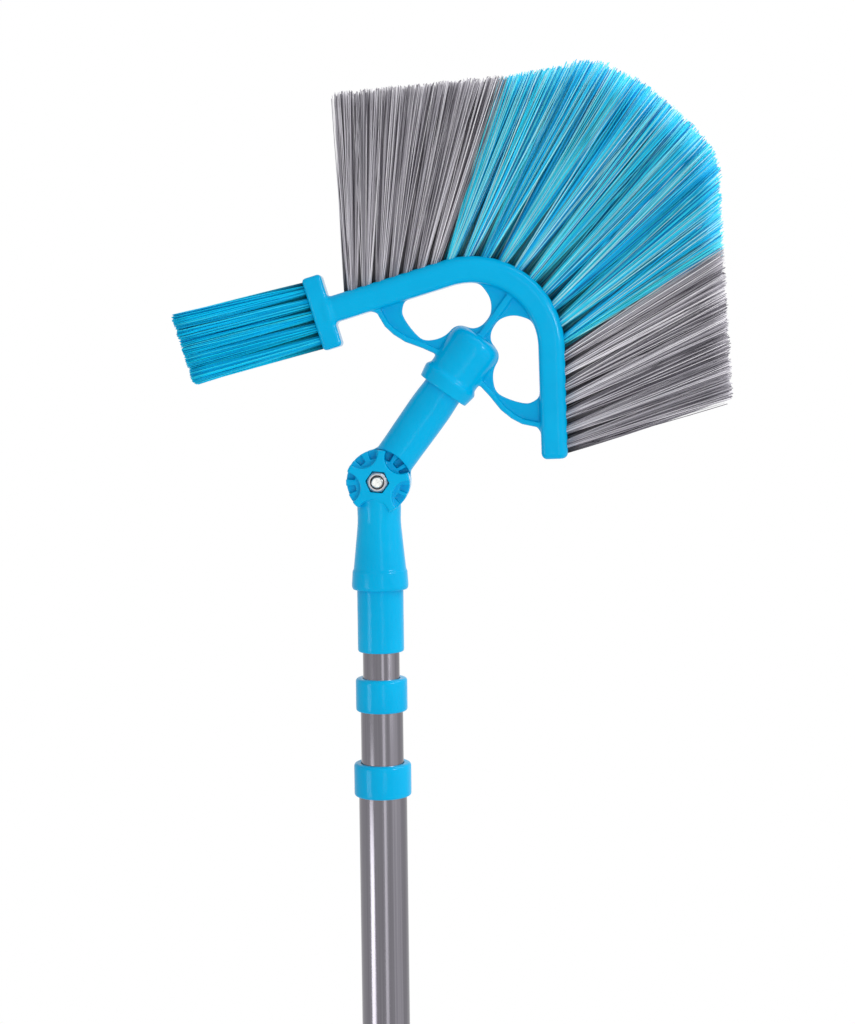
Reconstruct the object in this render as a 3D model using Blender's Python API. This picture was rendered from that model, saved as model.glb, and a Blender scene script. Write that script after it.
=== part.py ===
"""A telescopic ceiling broom: a fan of bristles on a tilting head, on a three-section steel pole.

The pole stands along +Z and the fan lies in the XZ plane with its front towards -Y.
The origin is the middle of the hand grip, on the pole's axis. Lengths are in metres.
"""
import math

import bmesh
import bpy
from mathutils import Matrix, Vector

MM = 0.001

# Fits and facets
CLEARANCE = 0.3 * MM
ROUND_SIDES = 28
WELD = 0.001 * MM

# Steel pole: each tube slides in the next one with the same gap
TUBE_WALL = 0.5 * MM
TELESCOPE_GAP = 1.0 * MM
INNER_TUBE_DIAMETER = 19.0 * MM
INNER_TUBE_LENGTH = 720.0 * MM
MIDDLE_TUBE_LENGTH = 760.0 * MM
OUTER_TUBE_LENGTH = 800.0 * MM
MIDDLE_TUBE_SHOWING = 27.3 * MM
INNER_TUBE_SHOWING = 13.8 * MM
PUSHED_IN_GAP = 5.0 * MM

# Guide collars on the two wider tubes
COLLAR_HEIGHT = 17.2 * MM
COLLAR_WALL = 2.1 * MM
COLLAR_LIP = 2.7 * MM
COLLAR_ROUNDING = 1.2 * MM

# Hand grip and end cap
GRIP_LENGTH = 130.0 * MM
GRIP_WALL = 3.4 * MM
GRIP_GROOVE = 1.0 * MM
GRIP_GROOVES = 4
CAP_FLANGE = 4.0 * MM
CAP_PLUG_LENGTH = 20.0 * MM
CAP_PLUG_WALL = 2.0 * MM
HANGER_LENGTH = 24.0 * MM
HANGER_WIDTH = 22.0 * MM
HANGER_DEPTH = 9.0 * MM
HANGER_HOLE = 10.0 * MM
HANGER_ROUNDING = 6.0 * MM

# Twist locks: an eccentric post on each plug turns inside a split ring
PLUG_LENGTH = 28.0 * MM
PLUG_FLANGE = 2.0 * MM
CAM_THROW = 1.0 * MM
CAM_RING_WALL = 3.0 * MM
CAM_RING_HEIGHT = 18.0 * MM
CAM_RING_SPLIT = 1.6 * MM
CAM_FOOT_HEIGHT = 2.5 * MM
CAM_FOOT_OVERLAP = 1.2 * MM
CAM_FOOT_EDGE = 0.3 * MM
PLUG_EDGE = 0.6 * MM

# Threaded ends, the same at the pole tip and at the arm
THREAD_RADIUS = 9.1 * MM
THREAD_DEPTH = 0.6 * MM
THREAD_PITCH = 5.0 * MM
THREAD_LENGTH = 22.0 * MM
THREAD_END_GAP = 2.0 * MM

# Sleeve of the pole tip
SLEEVE_LENGTH = 36.0 * MM
SLEEVE_WALL = 2.05 * MM
SLEEVE_SEAT = 3.5 * MM
SLEEVE_TUBE_DEPTH = 30.0 * MM
TIP_CORE_LENGTH = 24.0 * MM

# Elbow: two toothed discs on one bolt
DISC_RADIUS = 16.4 * MM
DISC_THICKNESS = 11.35 * MM
DISC_EDGE = 1.5 * MM
TOOTH_COUNT = 18
TOOTH_DEPTH = 1.2 * MM
TOOTH_INNER_RADIUS = 9.0 * MM
TOOTH_OUTER_RADIUS = 15.4 * MM
SWING_GAP = 0.35 * MM
NECK_SOLID = 11.25 * MM
NECK_WAIST_WALL = 1.25 * MM
NECK_FOOT_WALL = 3.95 * MM
NECK_SHOULDER_SWELL = 0.6 * MM
NECK_SHOULDER_RISE = 2.4 * MM
NECK_WAIST_DROP = 3.6 * MM
RING_WALL = 2.35 * MM
RING_HEIGHT = 7.3 * MM
RING_FLARE = 1.1 * MM
RING_STEP = 1.5 * MM
RING_EDGE = 0.4 * MM
STAR_ARMS = 5
STAR_FIRST_ARM_DEGREES = 10.2
POCKET_RADIUS = 7.3 * MM
POCKET_INSET = 9.3 * MM
POCKET_DEPTH = 4.0 * MM
RIB_PITCH_DEGREES = 30.0
WINDOW_WIDTH = 3.2 * MM
WINDOW_DEPTH = 3.0 * MM
WINDOW_INNER_RADIUS = 11.6 * MM
WINDOW_OUTER_RADIUS = 15.2 * MM

# Bolt, nut, washer and knob of the elbow
BOLT_RADIUS = 3.0 * MM
BOLT_PROUD = 2.0 * MM
HEX_ACROSS_FLATS = 10.0 * MM
NUT_THICKNESS = 5.0 * MM
NUT_PROUD = 0.8 * MM
BOLT_HEAD = 4.0 * MM
WASHER_RADIUS = 9.0 * MM
WASHER_THICKNESS = 1.6 * MM
KNOB_RADIUS = 13.5 * MM
KNOB_LENGTH = 14.0 * MM
KNOB_LOBES = 5
KNOB_SCALLOP_RADIUS = 6.0 * MM
KNOB_SCALLOP_DEPTH = 3.0 * MM

# Arm tube between the elbow and the head's socket
ARM_LENGTH = 57.0 * MM
ARM_WALL = 1.1 * MM
ARM_BELLY = 0.45 * MM
ARM_ROOT = 8.0 * MM
SOCKET_MOUTH = 4.0 * MM
SOCKET_HEIGHT = 33.5 * MM
SOCKET_WALL = 2.7 * MM
SOCKET_DOME_SWELL = 0.8 * MM
SOCKET_RING_SWELL = 1.5 * MM
SOCKET_RING_HEIGHT = 7.0 * MM
SOCKET_RING_CREST = 1.4 * MM
SOCKET_RING_TAPER = 1.1 * MM
SOCKET_STEP = 2.0 * MM

# Arched frame
HEAD_TILT_DEGREES = 36.0
SPOKE_LENGTH = 26.0 * MM
SPOKE_WIDTH = 3.5 * MM
SPOKE_DEPTH = 8.0 * MM
BAR_WIDTH = 13.5 * MM
BAR_DEPTH = 16.0 * MM
BAR_EDGE = 3.5 * MM
BAR_END_ROUNDING = 4.0 * MM
ARCH_RADIUS = 47.5 * MM
ARM_ANGLE_DEGREES = 52.7
SHORT_ARM = 57.0 * MM
LONG_ARM = 62.0 * MM
END_BAR_LENGTH = 38.0 * MM
END_BAR_WIDTH = 10.0 * MM
WEB_THICKNESS = 3.0 * MM
STRUT_RIM = 2.5 * MM
STRUT_DEPTH = 9.0 * MM
STRUT_HEIGHT = 13.0 * MM
STRUT_SAG = 4.3 * MM
WINDOW_SIDE_GAP = 0.6 * MM
# Height of a window's sill over the strut's underside, at shares of the way from bar to socket
WINDOW_SILL = ((0.62, 10.5 * MM), (0.4, 6.0 * MM), (0.26, 4.0 * MM), (0.14, 3.6 * MM), (0.04, 5.5 * MM))

# Bristles
SLICE_THICKNESS = 1.5 * MM
SLICE_DEPTH = 12.0 * MM
BRISTLE_PITCH = 2.65 * MM
BRISTLE_ROWS = 4
BRISTLE_WIDTH = 1.25 * MM
BRISTLE_TIP_SCALE = 0.75
FAN_TIP_DEPTH = 30.0 * MM
GREY_TUFTS_LONG = 47.0 * MM
GREY_TUFTS_SHORT = 49.0 * MM
BLUE_TUFTS_PAST_ARCH = 5.0 * MM
CORNER_BRISTLE_LENGTH = 68.0 * MM
CORNER_ROOT_WIDTH = 33.0 * MM
CORNER_TIP_WIDTH = 38.5 * MM
CORNER_TIP_DEPTH = 16.0 * MM
CORNER_SLICE_DEPTH = 11.0 * MM
CORNER_ROWS = 3

# Outline of the fan's tips beyond the arch's apex, from the long arm to the short arm
TIPS_LONG_END = (-130.0 * MM, 17.0 * MM)
TIPS_LONG_BOUNDARY = (-66.0 * MM, 77.0 * MM)
TIPS_LONG_SHOULDER = (-36.0 * MM, 109.5 * MM)
TIPS_TOP = (2.0 * MM, 115.0 * MM)
TIPS_SHORT_SHOULDER = (46.0 * MM, 105.5 * MM)
TIPS_SHORT_BOUNDARY = (72.0 * MM, 71.0 * MM)
TIPS_SHORT_END = (122.0 * MM, 10.5 * MM)
LONG_SHOULDER_ROOT = -22.0 * MM
SHORT_SHOULDER_ROOT = 25.0 * MM

# Radii that follow from the tubes and the thread
INNER_TUBE_RADIUS = INNER_TUBE_DIAMETER / 2
MIDDLE_TUBE_RADIUS = INNER_TUBE_RADIUS + TELESCOPE_GAP + TUBE_WALL
OUTER_TUBE_RADIUS = MIDDLE_TUBE_RADIUS + TELESCOPE_GAP + TUBE_WALL
THREAD_CORE = THREAD_RADIUS - THREAD_DEPTH
THREAD_BORE = THREAD_RADIUS + CLEARANCE
SLEEVE_BORE = INNER_TUBE_RADIUS + CLEARANCE
SLEEVE_RADIUS = SLEEVE_BORE + SLEEVE_WALL
RING_BORE = SLEEVE_RADIUS + CLEARANCE
ARM_RADIUS = THREAD_BORE + ARM_WALL
SOCKET_BORE = ARM_RADIUS + CLEARANCE
SOCKET_RADIUS = SOCKET_BORE + SOCKET_WALL
BOLT_HOLE = BOLT_RADIUS + CLEARANCE
HEX_POCKET = HEX_ACROSS_FLATS + 2 * CLEARANCE

# Levels along the pole, from the grip's middle upwards. A tube that is too long to go in as far
# as the showing lengths say stands on what is below it, and more of it shows
OUTER_TUBE_BOTTOM = -GRIP_LENGTH / 2
OUTER_TUBE_TOP = OUTER_TUBE_BOTTOM + OUTER_TUBE_LENGTH
LOWER_COLLAR_TOP = OUTER_TUBE_TOP + CLEARANCE + COLLAR_LIP
CAM_REACH = PLUG_FLANGE + CAM_RING_HEIGHT + CAM_FOOT_HEIGHT + 3 * CLEARANCE
CAP_PLUG_TOP = OUTER_TUBE_BOTTOM - CLEARANCE + CAP_PLUG_LENGTH
COLLAR_SEAT = COLLAR_HEIGHT - COLLAR_LIP - CLEARANCE
MIDDLE_TUBE_IN = LOWER_COLLAR_TOP + MIDDLE_TUBE_SHOWING + COLLAR_SEAT - MIDDLE_TUBE_LENGTH
MIDDLE_TUBE_BOTTOM = max(MIDDLE_TUBE_IN, CAP_PLUG_TOP + CAM_REACH + PUSHED_IN_GAP)
MIDDLE_TUBE_TOP = MIDDLE_TUBE_BOTTOM + MIDDLE_TUBE_LENGTH
UPPER_COLLAR_TOP = MIDDLE_TUBE_TOP + CLEARANCE + COLLAR_LIP
LOWER_PLUG_TOP = MIDDLE_TUBE_BOTTOM - CLEARANCE + PLUG_LENGTH
INNER_TUBE_IN = UPPER_COLLAR_TOP + INNER_TUBE_SHOWING + SLEEVE_TUBE_DEPTH - INNER_TUBE_LENGTH
INNER_TUBE_BOTTOM = max(INNER_TUBE_IN, LOWER_PLUG_TOP + CAM_REACH + PUSHED_IN_GAP)
INNER_TUBE_TOP = INNER_TUBE_BOTTOM + INNER_TUBE_LENGTH
SLEEVE_BOTTOM = INNER_TUBE_TOP - SLEEVE_TUBE_DEPTH
SLEEVE_TOP = SLEEVE_BOTTOM + SLEEVE_LENGTH
SWING_RADIUS = DISC_RADIUS + SWING_GAP
NECK_BORE_TOP = SWING_RADIUS + NECK_SOLID
NECK_BOTTOM = NECK_BORE_TOP + THREAD_END_GAP + THREAD_LENGTH + CLEARANCE + SLEEVE_SEAT
PIVOT_HEIGHT = SLEEVE_TOP - SLEEVE_SEAT + NECK_BOTTOM
NEAREST_FACE = CLEARANCE / 2

# Levels along the head, from the elbow's pivot upwards
SOCKET_TOP = ARM_LENGTH + SOCKET_HEIGHT
ARCH_APEX = SOCKET_TOP + SPOKE_LENGTH + BAR_WIDTH
ARCH_CENTRE = ARCH_APEX - ARCH_RADIUS
ARM_ANGLE = math.radians(ARM_ANGLE_DEGREES)
HALF_ARCH = ARCH_RADIUS * ARM_ANGLE


def clear_scene():
    for old in list(bpy.data.objects):
        bpy.data.objects.remove(old, do_unlink=True)


def linear(channel):
    """Turn one sRGB channel of 0 to 255 into a linear colour value."""
    value = channel / 255
    return value / 12.92 if value <= 0.04045 else ((value + 0.055) / 1.055) ** 2.4


def surface(name, colour, roughness, metallic=0.0):
    material = bpy.data.materials.new(name)
    material.use_nodes = True
    shader = material.node_tree.nodes["Principled BSDF"]
    shader.inputs["Base Color"].default_value = (*[linear(c) for c in colour], 1)
    shader.inputs["Roughness"].default_value = roughness
    shader.inputs["Metallic"].default_value = metallic
    return material


def axis_empty(name, location, tilt=0.0, parent=None):
    """An empty on a joint's axis, which carries the pieces that move with it."""
    empty = bpy.data.objects.new(name, None)
    bpy.context.collection.objects.link(empty)
    empty.location = location
    empty.rotation_euler = (0, tilt, 0)
    empty.parent = parent
    return empty


def as_object(bm, name="shape"):
    """Close a bmesh into an object with its faces pointing out."""
    bmesh.ops.recalc_face_normals(bm, faces=bm.faces)
    mesh = bpy.data.meshes.new(name)
    bm.to_mesh(mesh)
    bm.free()
    obj = bpy.data.objects.new(name, mesh)
    bpy.context.collection.objects.link(obj)
    return obj


def finish(obj, name, material, parent, level=0.0):
    """Name a piece, hang it on its empty at that empty's level, colour it and shade it smooth."""
    obj.name = name
    obj.data.name = name
    obj.data.transform(Matrix.Translation((0, 0, -level)))
    obj.parent = parent
    obj.data.materials.clear()
    obj.data.materials.append(material)
    obj.data.shade_smooth()
    obj.data.set_sharp_from_angle(angle=math.radians(35))
    return obj


def combine(base, tool, operation):
    """Join or cut one shape with another, and keep only the result."""
    modifier = base.modifiers.new(operation.title(), "BOOLEAN")
    modifier.operation = operation
    modifier.solver = "EXACT"
    modifier.object = tool
    bpy.context.view_layer.update()
    evaluated = base.evaluated_get(bpy.context.evaluated_depsgraph_get())
    result = bpy.data.meshes.new_from_object(evaluated)
    base.modifiers.clear()
    base.data = result
    bpy.data.objects.remove(tool, do_unlink=True)
    return base


def turned(profile, sides=ROUND_SIDES):
    """Turn (radius, height) points about Z. Ends on the axis close there, other profiles run round."""
    bm = bmesh.new()
    points = [bm.verts.new((radius, 0, height)) for radius, height in profile]
    pairs = list(zip(points, points[1:]))
    if profile[0][0] > 0:
        pairs.append((points[-1], points[0]))
    edges = [bm.edges.new(pair) for pair in pairs]
    bmesh.ops.spin(bm, geom=points + edges, cent=(0, 0, 0), axis=(0, 0, 1), angle=math.tau, steps=sides,
                   use_merge=True)
    bmesh.ops.remove_doubles(bm, verts=bm.verts, dist=WELD)
    return as_object(bm)


def plate(outline, front, back):
    """Give an outline in XZ its depth between two Y levels."""
    bm = bmesh.new()
    face = bm.faces.new([bm.verts.new((x, front, z)) for x, z in outline])
    grown = bmesh.ops.extrude_face_region(bm, geom=[face])["geom"]
    moved = [item for item in grown if isinstance(item, bmesh.types.BMVert)]
    bmesh.ops.translate(bm, verts=moved, vec=(0, back - front, 0))
    return as_object(bm)


def soften(obj, width, front, back, segments=2):
    """Round the outline edges that lie on a plate's front and back faces."""
    bm = bmesh.new()
    bm.from_mesh(obj.data)
    edges = [edge for edge in bm.edges
             if all(abs(v.co.y - front) < WELD for v in edge.verts)
             or all(abs(v.co.y - back) < WELD for v in edge.verts)]
    bmesh.ops.bevel(bm, geom=edges, offset=width, segments=segments, profile=0.5, affect="EDGES",
                    clamp_overlap=True)
    bm.to_mesh(obj.data)
    bm.free()
    return obj


def circle(radius, centre=(0, 0), sides=ROUND_SIDES, start=0.0):
    return [(centre[0] + radius * math.cos(start + math.tau * step / sides),
             centre[1] + radius * math.sin(start + math.tau * step / sides)) for step in range(sides)]


def polar(radius, degrees):
    angle = math.radians(degrees)
    return radius * math.cos(angle), radius * math.sin(angle)


def hexagon(across_flats):
    return circle(across_flats / math.sqrt(3), sides=6)


def face_front(obj):
    """Lay a piece that was turned about +Z along the bolt, with its top towards the front."""
    obj.data.transform(Matrix.Rotation(math.radians(90), 4, "X"))
    return obj


def face_back(obj):
    """Lay a piece that was turned about +Z along the bolt, with its top towards the back."""
    obj.data.transform(Matrix.Rotation(math.radians(-90), 4, "X"))
    return obj


# Tubes and guide collars
def tube(radius, bottom, top):
    bore = radius - TUBE_WALL
    return turned([(radius, top), (radius, bottom), (bore, bottom), (bore, top)])


def collar(tube_radius, top):
    """A collar round a tube's top, with a lip over the rim that guides the next tube."""
    inside = tube_radius + CLEARANCE
    outside = inside + COLLAR_WALL
    guide = tube_radius - TUBE_WALL - TELESCOPE_GAP + CLEARANCE
    bottom = top - COLLAR_HEIGHT
    return turned([
        (guide, top), (outside - COLLAR_ROUNDING, top), (outside, top - COLLAR_ROUNDING),
        (outside, bottom + COLLAR_ROUNDING), (outside - COLLAR_ROUNDING, bottom),
        (inside, bottom), (inside, top - COLLAR_LIP), (guide, top - COLLAR_LIP),
    ])


# Hand grip and end cap
def hand_grip():
    inside = OUTER_TUBE_RADIUS + CLEARANCE
    outside = inside + GRIP_WALL
    pitch = GRIP_LENGTH / (GRIP_GROOVES + 1)
    top = GRIP_LENGTH / 2
    profile = [(inside, top), (outside - GRIP_GROOVE, top), (outside, top - GRIP_GROOVE)]
    for groove in range(GRIP_GROOVES):
        middle = top - (groove + 1) * pitch
        profile.append((outside, middle + pitch / 4))
        profile.append((outside - GRIP_GROOVE, middle))
        profile.append((outside, middle - pitch / 4))
    profile += [(outside, GRIP_GROOVE - top), (outside - GRIP_GROOVE, -top), (inside, -top)]
    return turned(profile)


def grip_end_cap():
    """A flange under the grip, a hollow plug up the tube, and a flat tab with the hanging hole."""
    flange = OUTER_TUBE_RADIUS + CLEARANCE + GRIP_WALL
    plug = OUTER_TUBE_RADIUS - TUBE_WALL - CLEARANCE
    top = OUTER_TUBE_BOTTOM - CLEARANCE
    under = top - CAP_FLANGE
    bottom = under - HANGER_LENGTH
    body = turned([
        (0, top), (plug - CAP_PLUG_WALL, top), (plug - CAP_PLUG_WALL, top + CAP_PLUG_LENGTH),
        (plug, top + CAP_PLUG_LENGTH), (plug, top), (flange, top), (flange, under + GRIP_GROOVE),
        (flange - GRIP_GROOVE, under), (0, under),
    ])
    half = HANGER_WIDTH / 2
    corner = half - HANGER_ROUNDING
    outline = [(half, under + CAP_FLANGE / 2), (-half, under + CAP_FLANGE / 2)]
    for side, first in ((-1, 180), (1, 270)):
        for step in range(4):
            x, z = polar(HANGER_ROUNDING, first + 30 * step)
            outline.append((side * corner + x, bottom + HANGER_ROUNDING + z))
    tab = plate(outline, -HANGER_DEPTH / 2, HANGER_DEPTH / 2)
    hole = plate(circle(HANGER_HOLE / 2, (0, under - HANGER_LENGTH / 2), 20), -HANGER_DEPTH, HANGER_DEPTH)
    return combine(combine(body, tab, "UNION"), hole, "DIFFERENCE")


# Twist locks
def cam_plug(tube_radius, tube_bottom, cam_bore):
    """A plug in a tube's end, with a flange, an eccentric post and a foot that keeps the ring on."""
    plug = tube_radius - TUBE_WALL - CLEARANCE
    post = cam_bore - CLEARANCE - CAM_THROW
    foot = cam_bore + CAM_FOOT_OVERLAP
    flange_top = tube_bottom - CLEARANCE
    plug_top = flange_top + PLUG_LENGTH
    post_top = flange_top - PLUG_FLANGE
    post_bottom = post_top - CAM_RING_HEIGHT - 2 * CLEARANCE
    bottom = post_bottom - CAM_FOOT_HEIGHT
    body = turned([
        (0, plug_top), (plug - PLUG_EDGE, plug_top), (plug, plug_top - PLUG_EDGE), (plug, flange_top),
        (tube_radius, flange_top), (tube_radius, post_top), (post, post_top), (post, post_bottom),
        (foot, post_bottom), (foot - CAM_FOOT_EDGE, bottom), (0, bottom),
    ])
    for vert in body.data.vertices:
        on_post = abs(math.hypot(vert.co.x, vert.co.y) - post) < WELD
        if on_post and post_bottom - WELD < vert.co.z < post_top + WELD:
            vert.co.x += CAM_THROW
    return body


def cam_ring(bore_radius, top):
    """A split ring that the post spreads against the wider tube's wall."""
    outside = bore_radius - CLEARANCE
    inside = outside - CAM_RING_WALL
    bottom = top - CAM_RING_HEIGHT
    ring = turned([(outside, top), (outside, bottom), (inside, bottom), (inside, top)])
    half = CAM_RING_SPLIT / 2
    slot = plate([(-half, bottom - CAM_RING_SPLIT), (half, bottom - CAM_RING_SPLIT),
                  (half, top + CAM_RING_SPLIT), (-half, top + CAM_RING_SPLIT)], 0, bore_radius)
    return combine(ring, slot, "DIFFERENCE")


# Thread of the pole tip and of the arm, drawn as rings on a plain core
def thread_profile(shoulder):
    """Points up a threaded end from its shoulder to the axis."""
    top = shoulder + THREAD_LENGTH
    points = [(THREAD_CORE, shoulder)]
    turns = int(THREAD_LENGTH / THREAD_PITCH)
    for turn in range(turns):
        foot = shoulder + (turn + 0.3) * THREAD_PITCH
        points.append((THREAD_CORE, foot))
        points.append((THREAD_RADIUS, foot + 0.3 * THREAD_PITCH))
        points.append((THREAD_CORE, foot + 0.6 * THREAD_PITCH))
    points.append((THREAD_CORE - THREAD_DEPTH, top))
    points.append((0, top))
    return points


def pole_tip():
    """A sleeve on the inner tube, with a core inside the tube and the thread on top."""
    core = INNER_TUBE_RADIUS - TUBE_WALL - CLEARANCE
    slot_end = INNER_TUBE_TOP + CLEARANCE
    edge = SLEEVE_RADIUS - SLEEVE_WALL * 0.6
    profile = [(0, slot_end - TIP_CORE_LENGTH), (core, slot_end - TIP_CORE_LENGTH), (core, slot_end),
               (SLEEVE_BORE, slot_end), (SLEEVE_BORE, SLEEVE_BOTTOM), (edge, SLEEVE_BOTTOM),
               (SLEEVE_RADIUS, SLEEVE_BOTTOM + SLEEVE_RADIUS - edge), (SLEEVE_RADIUS, SLEEVE_TOP)]
    return turned(profile + thread_profile(SLEEVE_TOP))


# Elbow
def toothed_disc():
    """Half of the elbow's joint, turned about Z with its toothed face at height 0."""
    bm = bmesh.new()
    sides = 2 * TOOTH_COUNT
    rim = 0.1 * MM
    profile = [(BOLT_HOLE, -DISC_THICKNESS), (DISC_RADIUS - DISC_EDGE, -DISC_THICKNESS),
               (DISC_RADIUS, DISC_EDGE - DISC_THICKNESS), (DISC_RADIUS, 0), (TOOTH_OUTER_RADIUS + rim, 0),
               (TOOTH_OUTER_RADIUS, 0), (TOOTH_INNER_RADIUS, 0), (TOOTH_INNER_RADIUS - rim, 0),
               (BOLT_HOLE, 0)]
    points = [bm.verts.new((radius, 0, height)) for radius, height in profile]
    edges = [bm.edges.new(pair) for pair in zip(points, points[1:] + points[:1])]
    bmesh.ops.spin(bm, geom=points + edges, cent=(0, 0, 0), axis=(0, 0, 1), angle=math.tau, steps=sides,
                   use_merge=True)
    bmesh.ops.remove_doubles(bm, verts=bm.verts, dist=WELD)
    for vert in bm.verts:
        radius = math.hypot(vert.co.x, vert.co.y)
        on_teeth = TOOTH_INNER_RADIUS - rim / 2 < radius < TOOTH_OUTER_RADIUS + rim / 2
        step = round(math.atan2(vert.co.y, vert.co.x) / math.tau * sides)
        if on_teeth and abs(vert.co.z) < rim and step % 2:
            vert.co.z -= TOOTH_DEPTH
    return as_object(bm)


def swing_room(near, far):
    """The space that the other disc needs, between two Y levels."""
    return plate(circle(SWING_RADIUS, sides=2 * TOOTH_COUNT), near, far)


def neck():
    """The lower half's neck below the pivot, with the bore for the pole tip."""
    waist = THREAD_BORE + NECK_WAIST_WALL
    foot = THREAD_BORE + NECK_FOOT_WALL
    shoulder = waist + NECK_SHOULDER_SWELL
    ring = RING_BORE + RING_WALL
    top = -DISC_RADIUS / 2
    waist_level = -DISC_RADIUS - NECK_WAIST_DROP
    ring_top = RING_HEIGHT - NECK_BOTTOM
    foot_level = ring_top + RING_STEP
    seat = SLEEVE_SEAT + CLEARANCE - NECK_BOTTOM
    profile = [(0, top), (shoulder, top), (shoulder, NECK_SHOULDER_RISE - DISC_RADIUS)]
    profile += [(waist + share * (foot - waist), waist_level + level * (foot_level - waist_level))
                for share, level in ((0, 0), (0.4, 0.42), (0.8, 0.8), (1, 1))]
    profile += [(ring - RING_FLARE, ring_top), (ring, RING_STEP - NECK_BOTTOM),
                (ring - RING_EDGE, -NECK_BOTTOM), (RING_BORE, -NECK_BOTTOM), (RING_BORE, seat),
                (THREAD_BORE, seat), (THREAD_BORE, -NECK_BORE_TOP), (0, -NECK_BORE_TOP)]
    return turned(profile)


def star_pockets(front, floor):
    """Round cuts between the star's arms, but for the lowest gap, where the neck joins."""
    middle = POCKET_INSET + POCKET_RADIUS
    pockets = []
    for arm in range(STAR_ARMS):
        x, z = polar(middle, STAR_FIRST_ARM_DEGREES + (arm + 0.5) * 360 / STAR_ARMS)
        if z > -0.8 * middle:
            pockets.append(plate(circle(POCKET_RADIUS, (x, z), 20), front - POCKET_DEPTH, floor))
    return pockets


def star_windows(floor):
    """Radial recesses in the pockets' floors, on an even pitch, where no arm or neck covers them."""
    windows = []
    spread = 360 / STAR_ARMS
    half = WINDOW_WIDTH / 2
    outline = [(WINDOW_INNER_RADIUS, -half), (WINDOW_OUTER_RADIUS, -half),
               (WINDOW_OUTER_RADIUS, half), (WINDOW_INNER_RADIUS, half)]
    for rib in range(int(360 / RIB_PITCH_DEGREES)):
        turn = rib * RIB_PITCH_DEGREES
        direction = STAR_FIRST_ARM_DEGREES + turn
        from_arm = min(turn % spread, -turn % spread)
        if from_arm > spread / 5 and math.sin(math.radians(direction)) > -0.7:
            window = plate(outline, floor - POCKET_DEPTH, floor + WINDOW_DEPTH)
            window.data.transform(Matrix.Rotation(-math.radians(direction), 4, "Y"))
            windows.append(window)
    return windows


def lower_knuckle():
    """The front half of the elbow: toothed disc, star face, nut recess and neck."""
    front = -NEAREST_FACE - DISC_THICKNESS
    floor = front + POCKET_DEPTH
    disc = face_back(toothed_disc())
    disc.data.transform(Matrix.Translation((0, -NEAREST_FACE, 0)))
    body = neck()
    combine(body, swing_room(-NEAREST_FACE, 2 * DISC_RADIUS), "DIFFERENCE")
    combine(body, disc, "UNION")
    for pocket in star_pockets(front, floor) + star_windows(floor):
        combine(body, pocket, "DIFFERENCE")
    recess = plate(hexagon(HEX_POCKET), front - POCKET_DEPTH, front - NUT_PROUD + NUT_THICKNESS + CLEARANCE)
    return combine(body, recess, "DIFFERENCE")


def upper_knuckle():
    """The rear half of the elbow, with the arm tube and the thread that holds the head."""
    disc = face_front(toothed_disc())
    disc.data.transform(Matrix.Translation((0, NEAREST_FACE, 0)))
    shoulder = ARM_LENGTH + SOCKET_MOUTH - CLEARANCE
    belly = ARM_RADIUS + ARM_BELLY
    profile = [(0, ARM_ROOT), (ARM_RADIUS, ARM_ROOT), (ARM_RADIUS, 0.35 * ARM_LENGTH),
               (belly, 0.7 * ARM_LENGTH), (belly, 0.85 * ARM_LENGTH), (ARM_RADIUS, 0.97 * ARM_LENGTH),
               (ARM_RADIUS, shoulder)]
    body = turned(profile + thread_profile(shoulder))
    combine(body, swing_room(-2 * DISC_RADIUS, NEAREST_FACE), "DIFFERENCE")
    return combine(body, disc, "UNION")


# Bolt, nut, washer and knob
KNUCKLE_FRONT = NEAREST_FACE + DISC_THICKNESS
WASHER_NEAR = KNUCKLE_FRONT + CLEARANCE
KNOB_NEAR = WASHER_NEAR + WASHER_THICKNESS + CLEARANCE
KNOB_FAR = KNOB_NEAR + KNOB_LENGTH


def lock_nut():
    front = -KNUCKLE_FRONT - NUT_PROUD
    body = plate(hexagon(HEX_ACROSS_FLATS), front, front + NUT_THICKNESS)
    hole = plate(circle(BOLT_HOLE, sides=20), front - NUT_PROUD, front + 2 * NUT_THICKNESS)
    return combine(body, hole, "DIFFERENCE")


def lock_bolt():
    """A shank from the nut to the knob, with its hexagonal head in the knob's pocket."""
    tip = KNUCKLE_FRONT + NUT_PROUD + BOLT_PROUD
    head_back = KNOB_FAR - CLEARANCE
    edge = BOLT_RADIUS / 5
    shank = face_front(turned([(0, tip), (BOLT_RADIUS - edge, tip), (BOLT_RADIUS, tip - edge),
                               (BOLT_RADIUS, BOLT_HEAD / 2 - head_back), (0, BOLT_HEAD / 2 - head_back)], 20))
    head = plate(hexagon(HEX_ACROSS_FLATS), head_back - BOLT_HEAD, head_back)
    return combine(shank, head, "UNION")


def lock_washer():
    near = WASHER_NEAR
    far = near + WASHER_THICKNESS
    ring = [(WASHER_RADIUS, far), (WASHER_RADIUS, near), (BOLT_HOLE, near), (BOLT_HOLE, far)]
    return face_back(turned(ring))


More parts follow.
